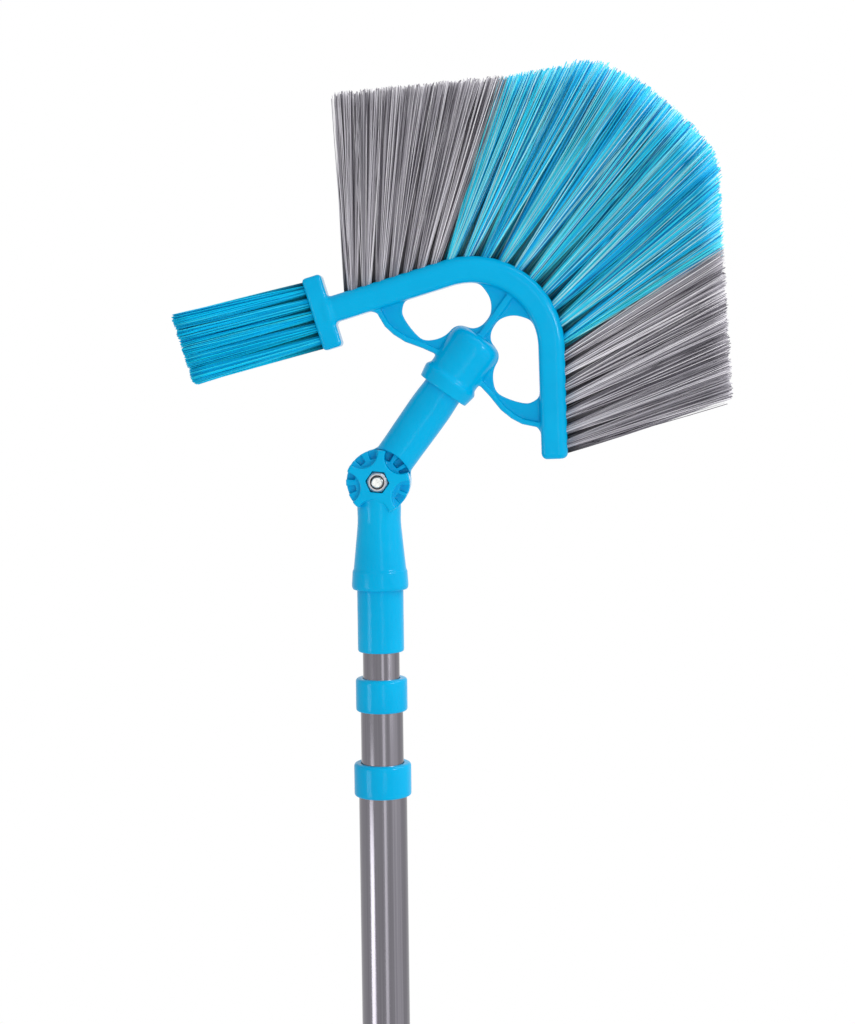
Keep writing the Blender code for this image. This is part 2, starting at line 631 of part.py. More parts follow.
def lock_knob():
    """A lobed hand knob with a pocket at the back for the bolt's head."""
    edge = KNOB_LENGTH / 8
    pocket_floor = KNOB_FAR - CLEARANCE - BOLT_HEAD - CLEARANCE
    boss = WASHER_RADIUS - edge / 2
    body = face_back(turned([
        (boss, KNOB_NEAR), (BOLT_HOLE, KNOB_NEAR), (BOLT_HOLE, KNOB_FAR), (KNOB_RADIUS - edge, KNOB_FAR),
        (KNOB_RADIUS, KNOB_FAR - edge), (KNOB_RADIUS, KNOB_NEAR + 2 * edge),
        (KNOB_RADIUS - edge, KNOB_NEAR + edge),
    ], 40))
    from_axis = KNOB_RADIUS + KNOB_SCALLOP_RADIUS - KNOB_SCALLOP_DEPTH
    for lobe in range(KNOB_LOBES):
        centre = polar(from_axis, 90 + (lobe + 0.5) * 360 / KNOB_LOBES)
        scallop = plate(circle(KNOB_SCALLOP_RADIUS, centre, 20), KNOB_NEAR - edge, KNOB_FAR + edge)
        combine(body, scallop, "DIFFERENCE")
    pocket = plate(hexagon(HEX_POCKET), pocket_floor, KNOB_FAR + edge)
    return combine(body, pocket, "DIFFERENCE")


# Arched frame of the head
def bar_point(along, depth):
    """A point at a signed distance along the arch's outer line from its apex, and a depth inside it."""
    side = math.copysign(1, along)
    turn = min(abs(along), HALF_ARCH) / ARCH_RADIUS
    past = max(abs(along) - HALF_ARCH, 0)
    radius = ARCH_RADIUS - depth
    x = radius * math.sin(turn) + past * math.cos(turn)
    z = ARCH_CENTRE + radius * math.cos(turn) - past * math.sin(turn)
    return side * x, z


def bar_outline(depth, inner_depth, start, end, steps=14):
    """The outline of the arched bar between two depths, with a rounded end on the short arm."""
    bends = [HALF_ARCH * (2 * step / steps - 1) for step in range(steps + 1)]
    path = [start] + bends + [end - BAR_END_ROUNDING]
    cut = 0.3 * BAR_END_ROUNDING
    outer = [bar_point(along, depth) for along in path]
    tip = [bar_point(end - cut, depth + cut), bar_point(end, depth + BAR_END_ROUNDING),
           bar_point(end, inner_depth - BAR_END_ROUNDING), bar_point(end - cut, inner_depth - cut)]
    inner = [bar_point(along, inner_depth) for along in reversed(path)]
    return outer + tip + inner


def end_bar_point(across, out):
    """A point on the end bar: across it from the long arm's middle line, and out from the arm's end."""
    arm_end = Vector(bar_point(-HALF_ARCH - LONG_ARM, BAR_WIDTH / 2))
    outward = Vector((-math.cos(ARM_ANGLE), -math.sin(ARM_ANGLE)))
    sideways = Vector((math.sin(ARM_ANGLE), -math.cos(ARM_ANGLE)))
    point = arm_end + outward * out + sideways * across
    return point.x, point.y


def strut_line(side, share, lift=0.0):
    """A point along the underside of a strut, from the socket (share 0) to the bar (share 1)."""
    start = SOCKET_RADIUS - SOCKET_WALL / 2
    foot = SOCKET_TOP - 1.5 * STRUT_HEIGHT
    end = bar_point(HALF_ARCH + 0.92 * SHORT_ARM, BAR_WIDTH / 2)[0]
    sag = STRUT_SAG * math.sin(math.pi * share) ** 1.5
    return side * (start + share * (end - start)), foot - sag + lift


def web_window(side):
    """The opening between spoke, arch, strut and socket, drawn past the pieces that bound it."""
    near_spoke = SPOKE_WIDTH / 2 + WINDOW_SIDE_GAP
    crown = ARCH_APEX - BAR_WIDTH
    points = [(near_spoke, SOCKET_TOP + 0.17 * SPOKE_LENGTH), (near_spoke, crown - 0.5 * SPOKE_LENGTH),
              (1.9 * near_spoke, crown - 0.29 * SPOKE_LENGTH), (5 * near_spoke, crown - 0.17 * SPOKE_LENGTH)]
    points.append(bar_point(0.8 * HALF_ARCH, 0.9 * BAR_WIDTH))
    points.append(bar_point(HALF_ARCH, 0.9 * BAR_WIDTH))
    points.append(bar_point(HALF_ARCH + 0.55 * SHORT_ARM, 0.95 * BAR_WIDTH))
    for share, lift in WINDOW_SILL:
        points.append(strut_line(1, share, lift))
    points.append((0.85 * SOCKET_RADIUS, SOCKET_TOP - 0.3 * STRUT_HEIGHT))
    points.append((0.45 * SOCKET_RADIUS, SOCKET_TOP - 0.1 * STRUT_HEIGHT))
    return plate([(side * x, z) for x, z in points], -WEB_THICKNESS, WEB_THICKNESS)


def socket():
    ring_bottom = ARM_LENGTH
    ring_top = ring_bottom + SOCKET_RING_HEIGHT
    ring = SOCKET_RADIUS + SOCKET_RING_SWELL
    dome = SOCKET_RADIUS + SOCKET_DOME_SWELL
    rounding = 0.55 * dome
    profile = [(0, SOCKET_TOP)]
    for step in range(4):
        x, z = polar(rounding, 90 - 30 * step)
        profile.append((dome - rounding + x, SOCKET_TOP - rounding + z))
    profile += [(SOCKET_RADIUS, ring_top + SOCKET_STEP), (ring, ring_top),
                (ring, ring_top - SOCKET_RING_CREST), (ring - SOCKET_RING_TAPER, ring_bottom),
                (0, ring_bottom)]
    return turned(profile)


def socket_bore():
    """The space inside the socket: a plain mouth, then the thread's bore."""
    mouth_end = ARM_LENGTH + SOCKET_MOUTH
    end = mouth_end + THREAD_LENGTH + THREAD_END_GAP
    return turned([(0, end), (THREAD_BORE, end), (THREAD_BORE, mouth_end), (SOCKET_BORE, mouth_end),
                   (SOCKET_BORE, ARM_LENGTH - SOCKET_MOUTH), (0, ARM_LENGTH - SOCKET_MOUTH)])


def head_frame():
    """The arched bar, end bar, web, spoke, struts and socket, moulded as one piece."""
    half_depth = BAR_DEPTH / 2
    seat = SLICE_THICKNESS + CLEARANCE
    long_end = -HALF_ARCH - LONG_ARM - END_BAR_WIDTH / 2
    bar = plate(bar_outline(seat, BAR_WIDTH, long_end, HALF_ARCH + SHORT_ARM), -half_depth, half_depth)
    soften(bar, BAR_EDGE, -half_depth, half_depth)
    reach = END_BAR_LENGTH / 2
    ends = [(-reach, 0), (-reach, END_BAR_WIDTH - seat), (reach, END_BAR_WIDTH - seat), (reach, 0)]
    end_bar = plate([end_bar_point(*point) for point in ends], -half_depth, half_depth)
    soften(end_bar, BAR_EDGE / 2, -half_depth, half_depth, segments=1)
    middle = 0.5 * BAR_WIDTH
    top = [bar_point(HALF_ARCH * (step / 5 - 1), middle) for step in range(11)]
    right = [strut_line(1, 1 - step / 7) for step in range(8)]
    left = [strut_line(-1, step / 7) for step in range(8)]
    web = plate(top + right + left, -WEB_THICKNESS / 2, WEB_THICKNESS / 2)
    for side in (-1, 1):
        combine(web, web_window(side), "DIFFERENCE")
        under = [strut_line(side, step / 7) for step in range(8)]
        over = [strut_line(side, 1 - step / 7, STRUT_RIM) for step in range(8)]
        combine(web, plate(under + over, -STRUT_DEPTH / 2, STRUT_DEPTH / 2), "UNION")
    half_spoke = SPOKE_WIDTH / 2
    foot = SOCKET_TOP - 0.1 * SPOKE_LENGTH
    head = ARCH_APEX - BAR_WIDTH / 2
    spoke = plate([(-half_spoke, foot), (half_spoke, foot), (half_spoke, head), (-half_spoke, head)],
                  -SPOKE_DEPTH / 2, SPOKE_DEPTH / 2)
    body = combine(bar, end_bar, "UNION")
    for piece in (web, spoke, socket()):
        combine(body, piece, "UNION")
    return combine(body, socket_bore(), "DIFFERENCE")


# Bristles
def tufted_slice(columns, rows, root_point, tip_point, inset):
    """A slice of backing with one strand on each of its cells, all one closed skin.

    root_point(column, row, depth) gives the slice's surface and tip_point(column, row) a strand's end.
    """
    bm = bmesh.new()
    top = [[bm.verts.new(root_point(column, row, 0)) for row in range(rows + 1)]
           for column in range(columns + 1)]
    low = [[bm.verts.new(root_point(column, row, SLICE_THICKNESS)) for row in (0, rows)]
           for column in range(columns + 1)]
    cells = {}
    for column in range(columns):
        left, right = top[column], top[column + 1]
        low_left, low_right = low[column], low[column + 1]
        for row in range(rows):
            cells[column, row] = bm.faces.new((left[row], right[row], right[row + 1], left[row + 1]))
        bm.faces.new((left[0], low_left[0], low_right[0], right[0]))
        bm.faces.new((left[rows], right[rows], low_right[1], low_left[1]))
        bm.faces.new((low_left[0], low_left[1], low_right[1], low_right[0]))
    for column in (0, columns):
        bm.faces.new(top[column] + [low[column][1], low[column][0]])
    for (column, row), cell in cells.items():
        bmesh.ops.inset_individual(bm, faces=[cell], thickness=inset)
        root = cell.calc_center_median()
        strand = bmesh.ops.extrude_discrete_faces(bm, faces=[cell])["faces"][0]
        tip = Vector(tip_point(column + 0.5, row + 0.5))
        for vert in strand.verts:
            vert.co = tip + (vert.co - root) * BRISTLE_TIP_SCALE
    return as_object(bm)


def blend(start, end, share):
    return start[0] + share * (end[0] - start[0]), start[1] + share * (end[1] - start[1])


def fan_tip(along):
    """The end of the strand whose root is at a signed distance along the arch's outer line."""
    boundary = HALF_ARCH + BLUE_TUFTS_PAST_ARCH
    stations = [(-boundary - GREY_TUFTS_LONG, TIPS_LONG_END), (-boundary, TIPS_LONG_BOUNDARY),
                (LONG_SHOULDER_ROOT, TIPS_LONG_SHOULDER), (0, TIPS_TOP),
                (SHORT_SHOULDER_ROOT, TIPS_SHORT_SHOULDER), (boundary, TIPS_SHORT_BOUNDARY),
                (boundary + GREY_TUFTS_SHORT, TIPS_SHORT_END)]
    for (start, first), (end, second) in zip(stations, stations[1:]):
        if along <= end:
            break
    x, rise = blend(first, second, (along - start) / (end - start))
    return x, ARCH_APEX + rise


def fan_bristles(start, end):
    """The strands of the fan between two distances along the arch's outer line."""
    columns = max(round((end - start) / BRISTLE_PITCH), 1)
    pitch = (end - start) / columns

    def root_point(column, row, depth):
        x, z = bar_point(start + column * pitch, depth)
        return x, SLICE_DEPTH * (row / BRISTLE_ROWS - 0.5), z

    def tip_point(column, row):
        x, z = fan_tip(start + column * pitch)
        return x, FAN_TIP_DEPTH * (row / BRISTLE_ROWS - 0.5), z

    inset = (min(pitch, SLICE_DEPTH / BRISTLE_ROWS) - BRISTLE_WIDTH) / 2
    return tufted_slice(columns, BRISTLE_ROWS, root_point, tip_point, inset)


def corner_bristles():
    """The small brush on the end bar."""
    columns = round(CORNER_ROOT_WIDTH / BRISTLE_PITCH)

    def root_point(column, row, depth):
        x, z = end_bar_point(CORNER_ROOT_WIDTH * (column / columns - 0.5), END_BAR_WIDTH - depth)
        return x, CORNER_SLICE_DEPTH * (row / CORNER_ROWS - 0.5), z

    def tip_point(column, row):
        across = CORNER_TIP_WIDTH * (column / columns - 0.5)
        x, z = end_bar_point(across, END_BAR_WIDTH + CORNER_BRISTLE_LENGTH)
        return x, CORNER_TIP_DEPTH * (row / CORNER_ROWS - 0.5), z

    inset = (min(CORNER_ROOT_WIDTH / columns, CORNER_SLICE_DEPTH / CORNER_ROWS) - BRISTLE_WIDTH) / 2
    return tufted_slice(columns, CORNER_ROWS, root_point, tip_point, inset)


def build():
    clear_scene()
    blue_plastic = surface("blue_plastic", (1, 177, 229), 0.22)
    blue_strand = surface("blue_strand", (60, 165, 203), 0.45)
    grey_strand = surface("grey_strand", (133, 130, 138), 0.5)
    steel = surface("steel", (150, 148, 152), 0.28, 1.0)
    zinc = surface("zinc", (200, 198, 200), 0.3, 1.0)
    pale_nylon = surface("pale_nylon", (225, 225, 220), 0.4)
    dark_rubber = surface("dark_rubber", (55, 55, 60), 0.7)

    outer_pole = axis_empty("outer_pole", (0, 0, 0))
    middle_pole = axis_empty("middle_pole", (0, 0, MIDDLE_TUBE_BOTTOM), parent=outer_pole)
    inner_pole = axis_empty("inner_pole", (0, 0, INNER_TUBE_BOTTOM - MIDDLE_TUBE_BOTTOM), parent=middle_pole)
    elbow = axis_empty("elbow", (0, 0, PIVOT_HEIGHT - INNER_TUBE_BOTTOM), parent=inner_pole)
    head = axis_empty("head", (0, 0, 0), math.radians(HEAD_TILT_DEGREES), elbow)

    finish(tube(OUTER_TUBE_RADIUS, OUTER_TUBE_BOTTOM, OUTER_TUBE_TOP), "outer_tube", steel, outer_pole)
    finish(collar(OUTER_TUBE_RADIUS, LOWER_COLLAR_TOP), "lower_collar", blue_plastic, outer_pole)
    finish(hand_grip(), "hand_grip", dark_rubber, outer_pole)
    finish(grip_end_cap(), "grip_end_cap", blue_plastic, outer_pole)

    radius = MIDDLE_TUBE_RADIUS
    level = MIDDLE_TUBE_BOTTOM
    cam_bore = OUTER_TUBE_RADIUS - TUBE_WALL
    plug = cam_plug(radius, level, cam_bore - CLEARANCE - CAM_RING_WALL)
    ring = cam_ring(cam_bore, level - PLUG_FLANGE - 2 * CLEARANCE)
    finish(tube(radius, level, MIDDLE_TUBE_TOP), "middle_tube", steel, middle_pole, level)
    finish(collar(radius, UPPER_COLLAR_TOP), "upper_collar", blue_plastic, middle_pole, level)
    finish(plug, "lower_cam_plug", pale_nylon, middle_pole, level)
    finish(ring, "lower_cam_ring", pale_nylon, middle_pole, level)

    radius = INNER_TUBE_RADIUS
    level = INNER_TUBE_BOTTOM
    cam_bore = MIDDLE_TUBE_RADIUS - TUBE_WALL
    plug = cam_plug(radius, level, cam_bore - CLEARANCE - CAM_RING_WALL)
    ring = cam_ring(cam_bore, level - PLUG_FLANGE - 2 * CLEARANCE)
    finish(tube(radius, level, INNER_TUBE_TOP), "inner_tube", steel, inner_pole, level)
    finish(pole_tip(), "pole_tip", blue_plastic, inner_pole, level)
    finish(plug, "upper_cam_plug", pale_nylon, inner_pole, level)
    finish(ring, "upper_cam_ring", pale_nylon, inner_pole, level)

    finish(lower_knuckle(), "lower_knuckle", blue_plastic, elbow)
    finish(lock_nut(), "lock_nut", zinc, elbow)
    finish(lock_bolt(), "lock_bolt", zinc, elbow)
    finish(lock_washer(), "lock_washer", zinc, elbow)
    finish(lock_knob(), "lock_knob", blue_plastic, elbow)

    boundary = HALF_ARCH + BLUE_TUFTS_PAST_ARCH
    side_gap = CLEARANCE / 2
    grey_left = fan_bristles(-boundary - GREY_TUFTS_LONG, -boundary - side_gap)
    blue = fan_bristles(-boundary + side_gap, boundary - side_gap)
    grey_right = fan_bristles(boundary + side_gap, boundary + GREY_TUFTS_SHORT)
    finish(upper_knuckle(), "upper_knuckle", blue_plastic, head)
    finish(head_frame(), "head_frame", blue_plastic, head)
    finish(grey_left, "grey_bristles_left", grey_strand, head)
    finish(blue, "blue_bristles", blue_strand, head)
    finish(grey_right, "grey_bristles_right", grey_strand, head)
    finish(corner_bristles(), "corner_bristles", blue_strand, head)


build()
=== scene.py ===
import math

import bmesh
import bpy
import numpy as np
from mathutils import Matrix, Vector


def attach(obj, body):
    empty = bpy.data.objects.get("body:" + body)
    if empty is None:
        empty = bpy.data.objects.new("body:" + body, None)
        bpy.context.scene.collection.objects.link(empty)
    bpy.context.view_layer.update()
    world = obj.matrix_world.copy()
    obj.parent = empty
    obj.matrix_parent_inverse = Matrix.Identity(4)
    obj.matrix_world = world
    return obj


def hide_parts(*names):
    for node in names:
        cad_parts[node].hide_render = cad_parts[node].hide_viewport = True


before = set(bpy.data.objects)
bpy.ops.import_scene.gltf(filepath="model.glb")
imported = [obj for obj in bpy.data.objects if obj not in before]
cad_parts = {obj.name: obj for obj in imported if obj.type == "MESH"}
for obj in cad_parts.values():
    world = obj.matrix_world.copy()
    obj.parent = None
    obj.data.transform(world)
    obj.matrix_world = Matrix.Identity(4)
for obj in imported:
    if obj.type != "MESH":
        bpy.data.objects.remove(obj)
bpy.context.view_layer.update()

# --- Steel tubes -----------------------------------------------------------------------------------
# Three tubes of 25, 22 and 19 mm that slide in one another. Each is rolled from 0.5 mm steel strip,
# welded, drawn bright and plated. The ends are cut square and deburred. Lengths here are in mm.
MM = 0.001
TUBE_WALL = 0.5
TUBE_EDGE = 0.15
TUBES = (  # node, body, radius, bottom, top
    ("outer_tube", "outer_pole", 12.5, -65.0, 735.0),
    ("middle_tube", "middle_pole", 11.0, 19.5, 779.5),
    ("inner_tube", "inner_pole", 9.5, 106.3, 826.3),
)


def paint(red, green, blue):
    """A colour as it is seen, 0 to 255, turned into the linear values that a shader reads."""
    seen = [channel / 255 for channel in (red, green, blue)]
    return (*[c / 12.92 if c <= 0.04045 else ((c + 0.055) / 1.055) ** 2.4 for c in seen], 1.0)


def put(tree, kind, inputs=None, **options):
    """Add a node, set its options, feed its inputs, and hand back its first output in use."""
    node = tree.nodes.new(kind)
    for option, value in options.items():
        setattr(node, option, value)
    for key, value in (inputs or {}).items():
        if isinstance(key, int):
            entry = node.inputs[key]
        else:
            entry = next(s for s in node.inputs if s.enabled and s.name == key)
        if isinstance(value, bpy.types.NodeSocket):
            tree.links.new(value, entry)
        else:
            entry.default_value = value
    return next((s for s in node.outputs if s.enabled), None)


def new_finish(name, roughness, metallic=0.0, specular=0.5):
    """A material with its shader's plain values set, ready for its pattern nodes."""
    finish = bpy.data.materials.new(name)
    finish.use_nodes = True
    tree = finish.node_tree
    shader = tree.nodes["Principled BSDF"]
    shader.inputs["Roughness"].default_value = roughness
    shader.inputs["Metallic"].default_value = metallic
    shader.inputs["Specular IOR Level"].default_value = specular
    return finish, tree, shader


def grain(tree, size, detail=2.0, stretch=(1.0, 1.0, 1.0)):
    """Noise whose lumps are about `size` mm wide, stretched along the piece's own axes."""
    place = put(tree, "ShaderNodeTexCoord").node.outputs["Object"]
    scale = [1 / (size * MM * along) for along in stretch]
    scaled = put(tree, "ShaderNodeMapping", {"Vector": place, "Scale": scale})
    return put(tree, "ShaderNodeTexNoise", {"Vector": scaled, "Scale": 1.0, "Detail": detail})


def between(tree, share, low, high):
    """Turn a pattern of about 0.3 to 0.7 into a value from low to high."""
    return put(tree, "ShaderNodeMapRange", {"Value": share, "From Min": 0.3, "From Max": 0.7,
                                            "To Min": low, "To Max": high})


def blend_paint(tree, share, dark, light):
    """A colour between two paints, led by a pattern of about 0.3 to 0.7."""
    return put(tree, "ShaderNodeMix", {"Factor": between(tree, share, 0.0, 1.0), "A": dark, "B": light},
               data_type="RGBA")


def rough_skin(tree, shader, height, strength, depth):
    """Let a pattern stand proud of the surface by `depth` mm."""
    bump = put(tree, "ShaderNodeBump", {"Height": height, "Strength": strength, "Distance": depth * MM})
    tree.links.new(bump, shader.inputs["Normal"])


def as_piece(name, verts, faces, finish, place=Matrix.Identity(4), crease=35):
    """Make one closed mesh of points in mm, put it in its place, and shade it."""
    mesh = bpy.data.meshes.new(name)
    mesh.from_pydata(verts, [], faces)
    mesh.transform(Matrix.Scale(MM, 4) @ place)
    bm = bmesh.new()
    bm.from_mesh(mesh)
    bmesh.ops.recalc_face_normals(bm, faces=bm.faces)
    bm.to_mesh(mesh)
    bm.free()
    mesh.materials.append(finish)
    mesh.shade_smooth()
    if crease:
        mesh.set_sharp_from_angle(angle=math.radians(crease))
    piece = bpy.data.objects.new(name, mesh)
    bpy.context.scene.collection.objects.link(piece)
    return piece


def eased(profile, steps=4):
    """Round each corner of a turned profile over the length given as its third value."""
    points = []
    for index, (radius, height, *length) in enumerate(profile):
        if not length:
            points.append((radius, height))
            continue
        corner = np.array((radius, height))
        ends = []
        for neighbour in (profile[index - 1], profile[(index + 1) % len(profile)]):
            side = np.array(neighbour[:2]) - corner
            ends.append(corner + side * (length[0] / np.linalg.norm(side)))
        for step in range(steps + 1):
            share = step / steps
            point = (1 - share) ** 2 * ends[0] + 2 * share * (1 - share) * corner + share ** 2 * ends[1]
            points.append((float(point[0]), float(point[1])))
    return points


def turned(name, profile, finish, sides=96, place=Matrix.Identity(4), form=None, crease=35):
    """Turn a profile of (radius, height) about its axis. One that doesn't reach the axis runs round."""
    verts, rings = [], []
    for radius, height in profile:
        if radius < 1e-6:
            rings.append([len(verts)] * sides)
            verts.append((0, 0, height))
            continue
        rings.append(range(len(verts), len(verts) + sides))
        for side in range(sides):
            angle = math.tau * side / sides
            reach = form(radius, angle, height) if form else radius
            verts.append((reach * math.cos(angle), reach * math.sin(angle), height))
    follows = rings[1:] if profile[0][0] < 1e-6 else rings[1:] + rings[:1]
    faces = []
    for low, high in zip(rings, follows):
        for side in range(sides):
            after = (side + 1) % sides
            corners = dict.fromkeys((low[side], low[after], high[after], high[side]))
            if len(corners) > 2:
                faces.append(list(corners))
    return as_piece(name, verts, faces, finish, place, crease)


def fit(piece, body, slot, *solids):
    """Hang a piece on its body, in place of the plain solids that it stands for."""
    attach(piece, body)
    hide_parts(*solids)


steel, tree, shader = new_finish("bright_steel", 0.24, metallic=1.0)
draw_lines = grain(tree, 0.7, detail=4.0, stretch=(1.0, 1.0, 260.0))
clouding = grain(tree, 18.0, detail=3.0, stretch=(1.0, 1.0, 5.0))
tree.links.new(blend_paint(tree, draw_lines, paint(110, 107, 114), paint(122, 120, 126)),
               shader.inputs["Base Color"])
tree.links.new(between(tree, clouding, 0.16, 0.21), shader.inputs["Roughness"])
rough_skin(tree, shader, draw_lines, 0.08, 0.05)

for name, body, radius, bottom, top in TUBES:
    bore = radius - TUBE_WALL
    corners = ((radius, bottom), (radius, top), (bore, top), (bore, bottom))
    ring = eased([(*corner, TUBE_EDGE) for corner in corners], 2)
    fit(turned(name + "_wall", ring, steel), body, "steel", name)

# --- Hand grip and end cap -------------------------------------------------------------------------
# A soft rubber sleeve is pushed over the outer tube's lower end, with four finger grooves, fine ribs
# between them and a rim at each end. A moulded cap plugs the tube and ends in a tab with a hole.
GRIP_RADIUS = 16.2
GRIP_BORE = 12.8
GRIP_HALF = 65.0
GRIP_EDGE = 1.2
GRIP_ROWS = 130
GROOVE_PITCH = 26.0
RIM_FROM = 2.4 * GROOVE_PITCH
RIB_PITCH = 2.0
RIB_HEIGHT = 0.28
CAP_FLANGE = -67.3
FLANGE_HALF = 2.0
TAB_MIDDLE = -79.3
TAB_TOP = -66.5
TAB_HALF_WIDTH = 11.0
TAB_HALF_LENGTH = 14.0
TAB_HALF_DEPTH = 4.5
TAB_CORNER = 6.0
PLUG_MIDDLE = -55.8
PLUG_HALF = 10.5
PLUG_RADIUS = 10.7
PLUG_HALF_WALL = 1.0
HOLE_MIDDLE = -81.3
HOLE_RADIUS = 5.0

rubber, tree, shader = new_finish("soft_rubber", 0.7, specular=0.3)
pores = grain(tree, 0.5, detail=3.0)
tree.links.new(blend_paint(tree, grain(tree, 6.0), paint(50, 50, 54), paint(60, 60, 65)),
               shader.inputs["Base Color"])
tree.links.new(between(tree, pores, 0.6, 0.8), shader.inputs["Roughness"])
rough_skin(tree, shader, pores, 0.3, 0.1)

grip = [(GRIP_BORE, GRIP_HALF), (GRIP_RADIUS - GRIP_EDGE, GRIP_HALF)]
for row in range(2 * GRIP_ROWS + 1):
    height = GRIP_HALF * (1 - row / GRIP_ROWS)
    groove = 0.5 + 0.5 * math.cos(math.tau * (height - GROOVE_PITCH / 2) / GROOVE_PITCH)
    groove = groove ** 3 if abs(height) < RIM_FROM else 0.0
    rib = RIB_HEIGHT * (0.5 - 0.5 * math.cos(math.tau * height / RIB_PITCH)) * (1 - groove)
    shoulder = GRIP_EDGE * max(0.0, 1 - (GRIP_HALF - abs(height)) / GRIP_EDGE) ** 2
    grip.append((GRIP_RADIUS - groove - rib - shoulder, height))
grip += [(GRIP_RADIUS - GRIP_EDGE, -GRIP_HALF), (GRIP_BORE, -GRIP_HALF)]
fit(turned("grip_sleeve", grip, rubber, crease=60), "outer_pole", "grip", "hand_grip")

blue_plastic, tree, shader = new_finish("blue_plastic", 0.13, specular=0.08)
waves = grain(tree, 7.0, detail=1.0)
tree.links.new(blend_paint(tree, grain(tree, 22.0), paint(0, 165, 217), paint(2, 172, 223)),
               shader.inputs["Base Color"])
tree.links.new(between(tree, grain(tree, 5.0), 0.1, 0.16), shader.inputs["Roughness"])
rough_skin(tree, shader, waves, 0.4, 0.6)


def join(a, b, fillet=0.0):
    """Both solids as one, with a fillet in the corner between them. Distances are below zero inside."""
    corner = np.hypot(np.maximum(fillet - a, 0), np.maximum(fillet - b, 0))
    return np.maximum(fillet, np.minimum(a, b)) - corner


def meet(a, b, edge=0.0):
    """What two solids share, with its edge rounded."""
    corner = np.hypot(np.maximum(edge + a, 0), np.maximum(edge + b, 0))
    return np.minimum(-edge, np.maximum(a, b)) + corner


def cut(a, b, edge=0.0):
    """The first solid without the second, with the edge rounded."""
    return meet(a, -b, edge)


def block(a, b, half_a, half_b, corner):
    """Distance from a rectangle about 0 with rounded corners."""
    far_a = np.abs(a) - half_a + corner
    far_b = np.abs(b) - half_b + corner
    outside = np.hypot(np.maximum(far_a, 0), np.maximum(far_b, 0))
    return np.minimum(np.maximum(far_a, far_b), 0) + outside - corner


def from_outline(a, b, points):
    """Distance from a closed outline in a plane, below zero inside it."""
    nearest = np.inf
    side = 1.0
    for (a0, b0), (a1, b1) in zip(points, points[1:] + points[:1]):
        run, rise = a1 - a0, b1 - b0
        off_a, off_b = a - a0, b - b0
        share = np.clip((off_a * run + off_b * rise) / (run * run + rise * rise), 0, 1)
        nearest = np.minimum(nearest, (off_a - run * share) ** 2 + (off_b - rise * share) ** 2)
        above, below, left = b >= b0, b < b1, run * off_b > rise * off_a
        side = np.where((above & below & left) | ~(above | below | left), -side, side)
    return side * np.sqrt(nearest)


def moulded(name, solid, low, high, step, finish, place=Matrix.Identity(4)):
    """Wrap one closed skin round a solid given by its distance, over a box of cells `step` mm wide.

    Each cell that the surface crosses gets one point, which is then drawn on to the surface."""
    axes = [np.arange(start, end + step, step) for start, end in zip(low, high)]
    values = solid(*np.meshgrid(*axes, indexing="ij", sparse=True))
    spots, quads = [], []
    for axis in range(3):
        near = values[tuple(slice(0, -1) if a == axis else slice(None) for a in range(3))]
        far = values[tuple(slice(1, None) if a == axis else slice(None) for a in range(3))]
        where = np.argwhere((near < 0) != (far < 0))
        start, end = near[tuple(where.T)], far[tuple(where.T)]
        spot = where.astype(float)
        spot[:, axis] += start / (start - end)
        spots.append(spot)
        one, two = [a for a in range(3) if a != axis]
        ring = []
        for back_one, back_two in ((0, 0), (1, 0), (1, 1), (0, 1)):
            cell = where.copy()
            cell[:, one] -= back_one
            cell[:, two] -= back_two
            ring.append(np.ravel_multi_index(cell.T, values.shape))
        ring = np.stack(ring, 1)
        turn = (start < 0) == (axis == 1)
        ring[turn] = ring[turn, ::-1]
        quads.append(ring)
    spots, quads = np.concatenate(spots), np.concatenate(quads)
    index = np.unique(quads, return_inverse=True)[1].reshape(-1)
    shared = np.bincount(index)
    points = np.stack([np.bincount(index, np.repeat(spots[:, a], 4)) / shared for a in range(3)], 1)
    points = np.array(low) + points * step
    probe, flattest = 0.02, 0.2
    for _ in range(4):
        level = solid(*points.T)
        slope = np.stack([solid(*(points + probe * unit).T) - solid(*(points - probe * unit).T)
                          for unit in np.eye(3)], 1) / (2 * probe)
        move = level[:, None] * slope / np.maximum((slope ** 2).sum(1), flattest)[:, None]
        points -= np.clip(move, -step / 4, step / 4)
    return as_piece(name, points.tolist(), index.reshape(-1, 4).tolist(), finish, place, crease=0)


def end_cap(x, y, z):
    """A flange under the grip, a ring that plugs the tube, and a flat tab with its hole."""
    around = np.hypot(x, y)
    flange = meet(around - GRIP_RADIUS, np.abs(z - CAP_FLANGE) - FLANGE_HALF, 1.0)
    tab = block(x, z - TAB_MIDDLE, TAB_HALF_WIDTH, TAB_HALF_LENGTH, TAB_CORNER)
    tab = meet(meet(tab, np.abs(y) - TAB_HALF_DEPTH, 1.2), z - TAB_TOP)
    plug = meet(np.abs(around - PLUG_RADIUS) - PLUG_HALF_WALL, np.abs(z - PLUG_MIDDLE) - PLUG_HALF, 0.3)
    hole = np.hypot(x, z - HOLE_MIDDLE) - HOLE_RADIUS
    return cut(join(join(flange, tab, 2.0), plug), hole, 1.0)


fit(moulded("hanging_cap", end_cap, (-17, -17, -94), (17, 17, -44), 0.5, blue_plastic),
    "outer_pole", "blue_plastic", "grip_end_cap")

# --- Guide collars ---------------------------------------------------------------------------------
# A blue collar is pressed over the top of each wider tube, and its lip guides the next tube. It is
# moulded in one shot with rounded ends, the upper one a little rounder.
COLLARS = (  # node, body, outside radius, bore, guide's bore, top
    ("lower_collar", "outer_pole", 14.9, 12.8, 11.3, 738.0),
    ("upper_collar", "middle_pole", 13.4, 11.3, 9.8, 782.5),
)
COLLAR_HEIGHT = 17.2
COLLAR_LIP = 2.7
COLLAR_TOP_ROUND = 1.9
COLLAR_FOOT_ROUND = 1.5
COLLAR_BORE_ROUND = 0.2
GUIDE_ROUND = 0.3

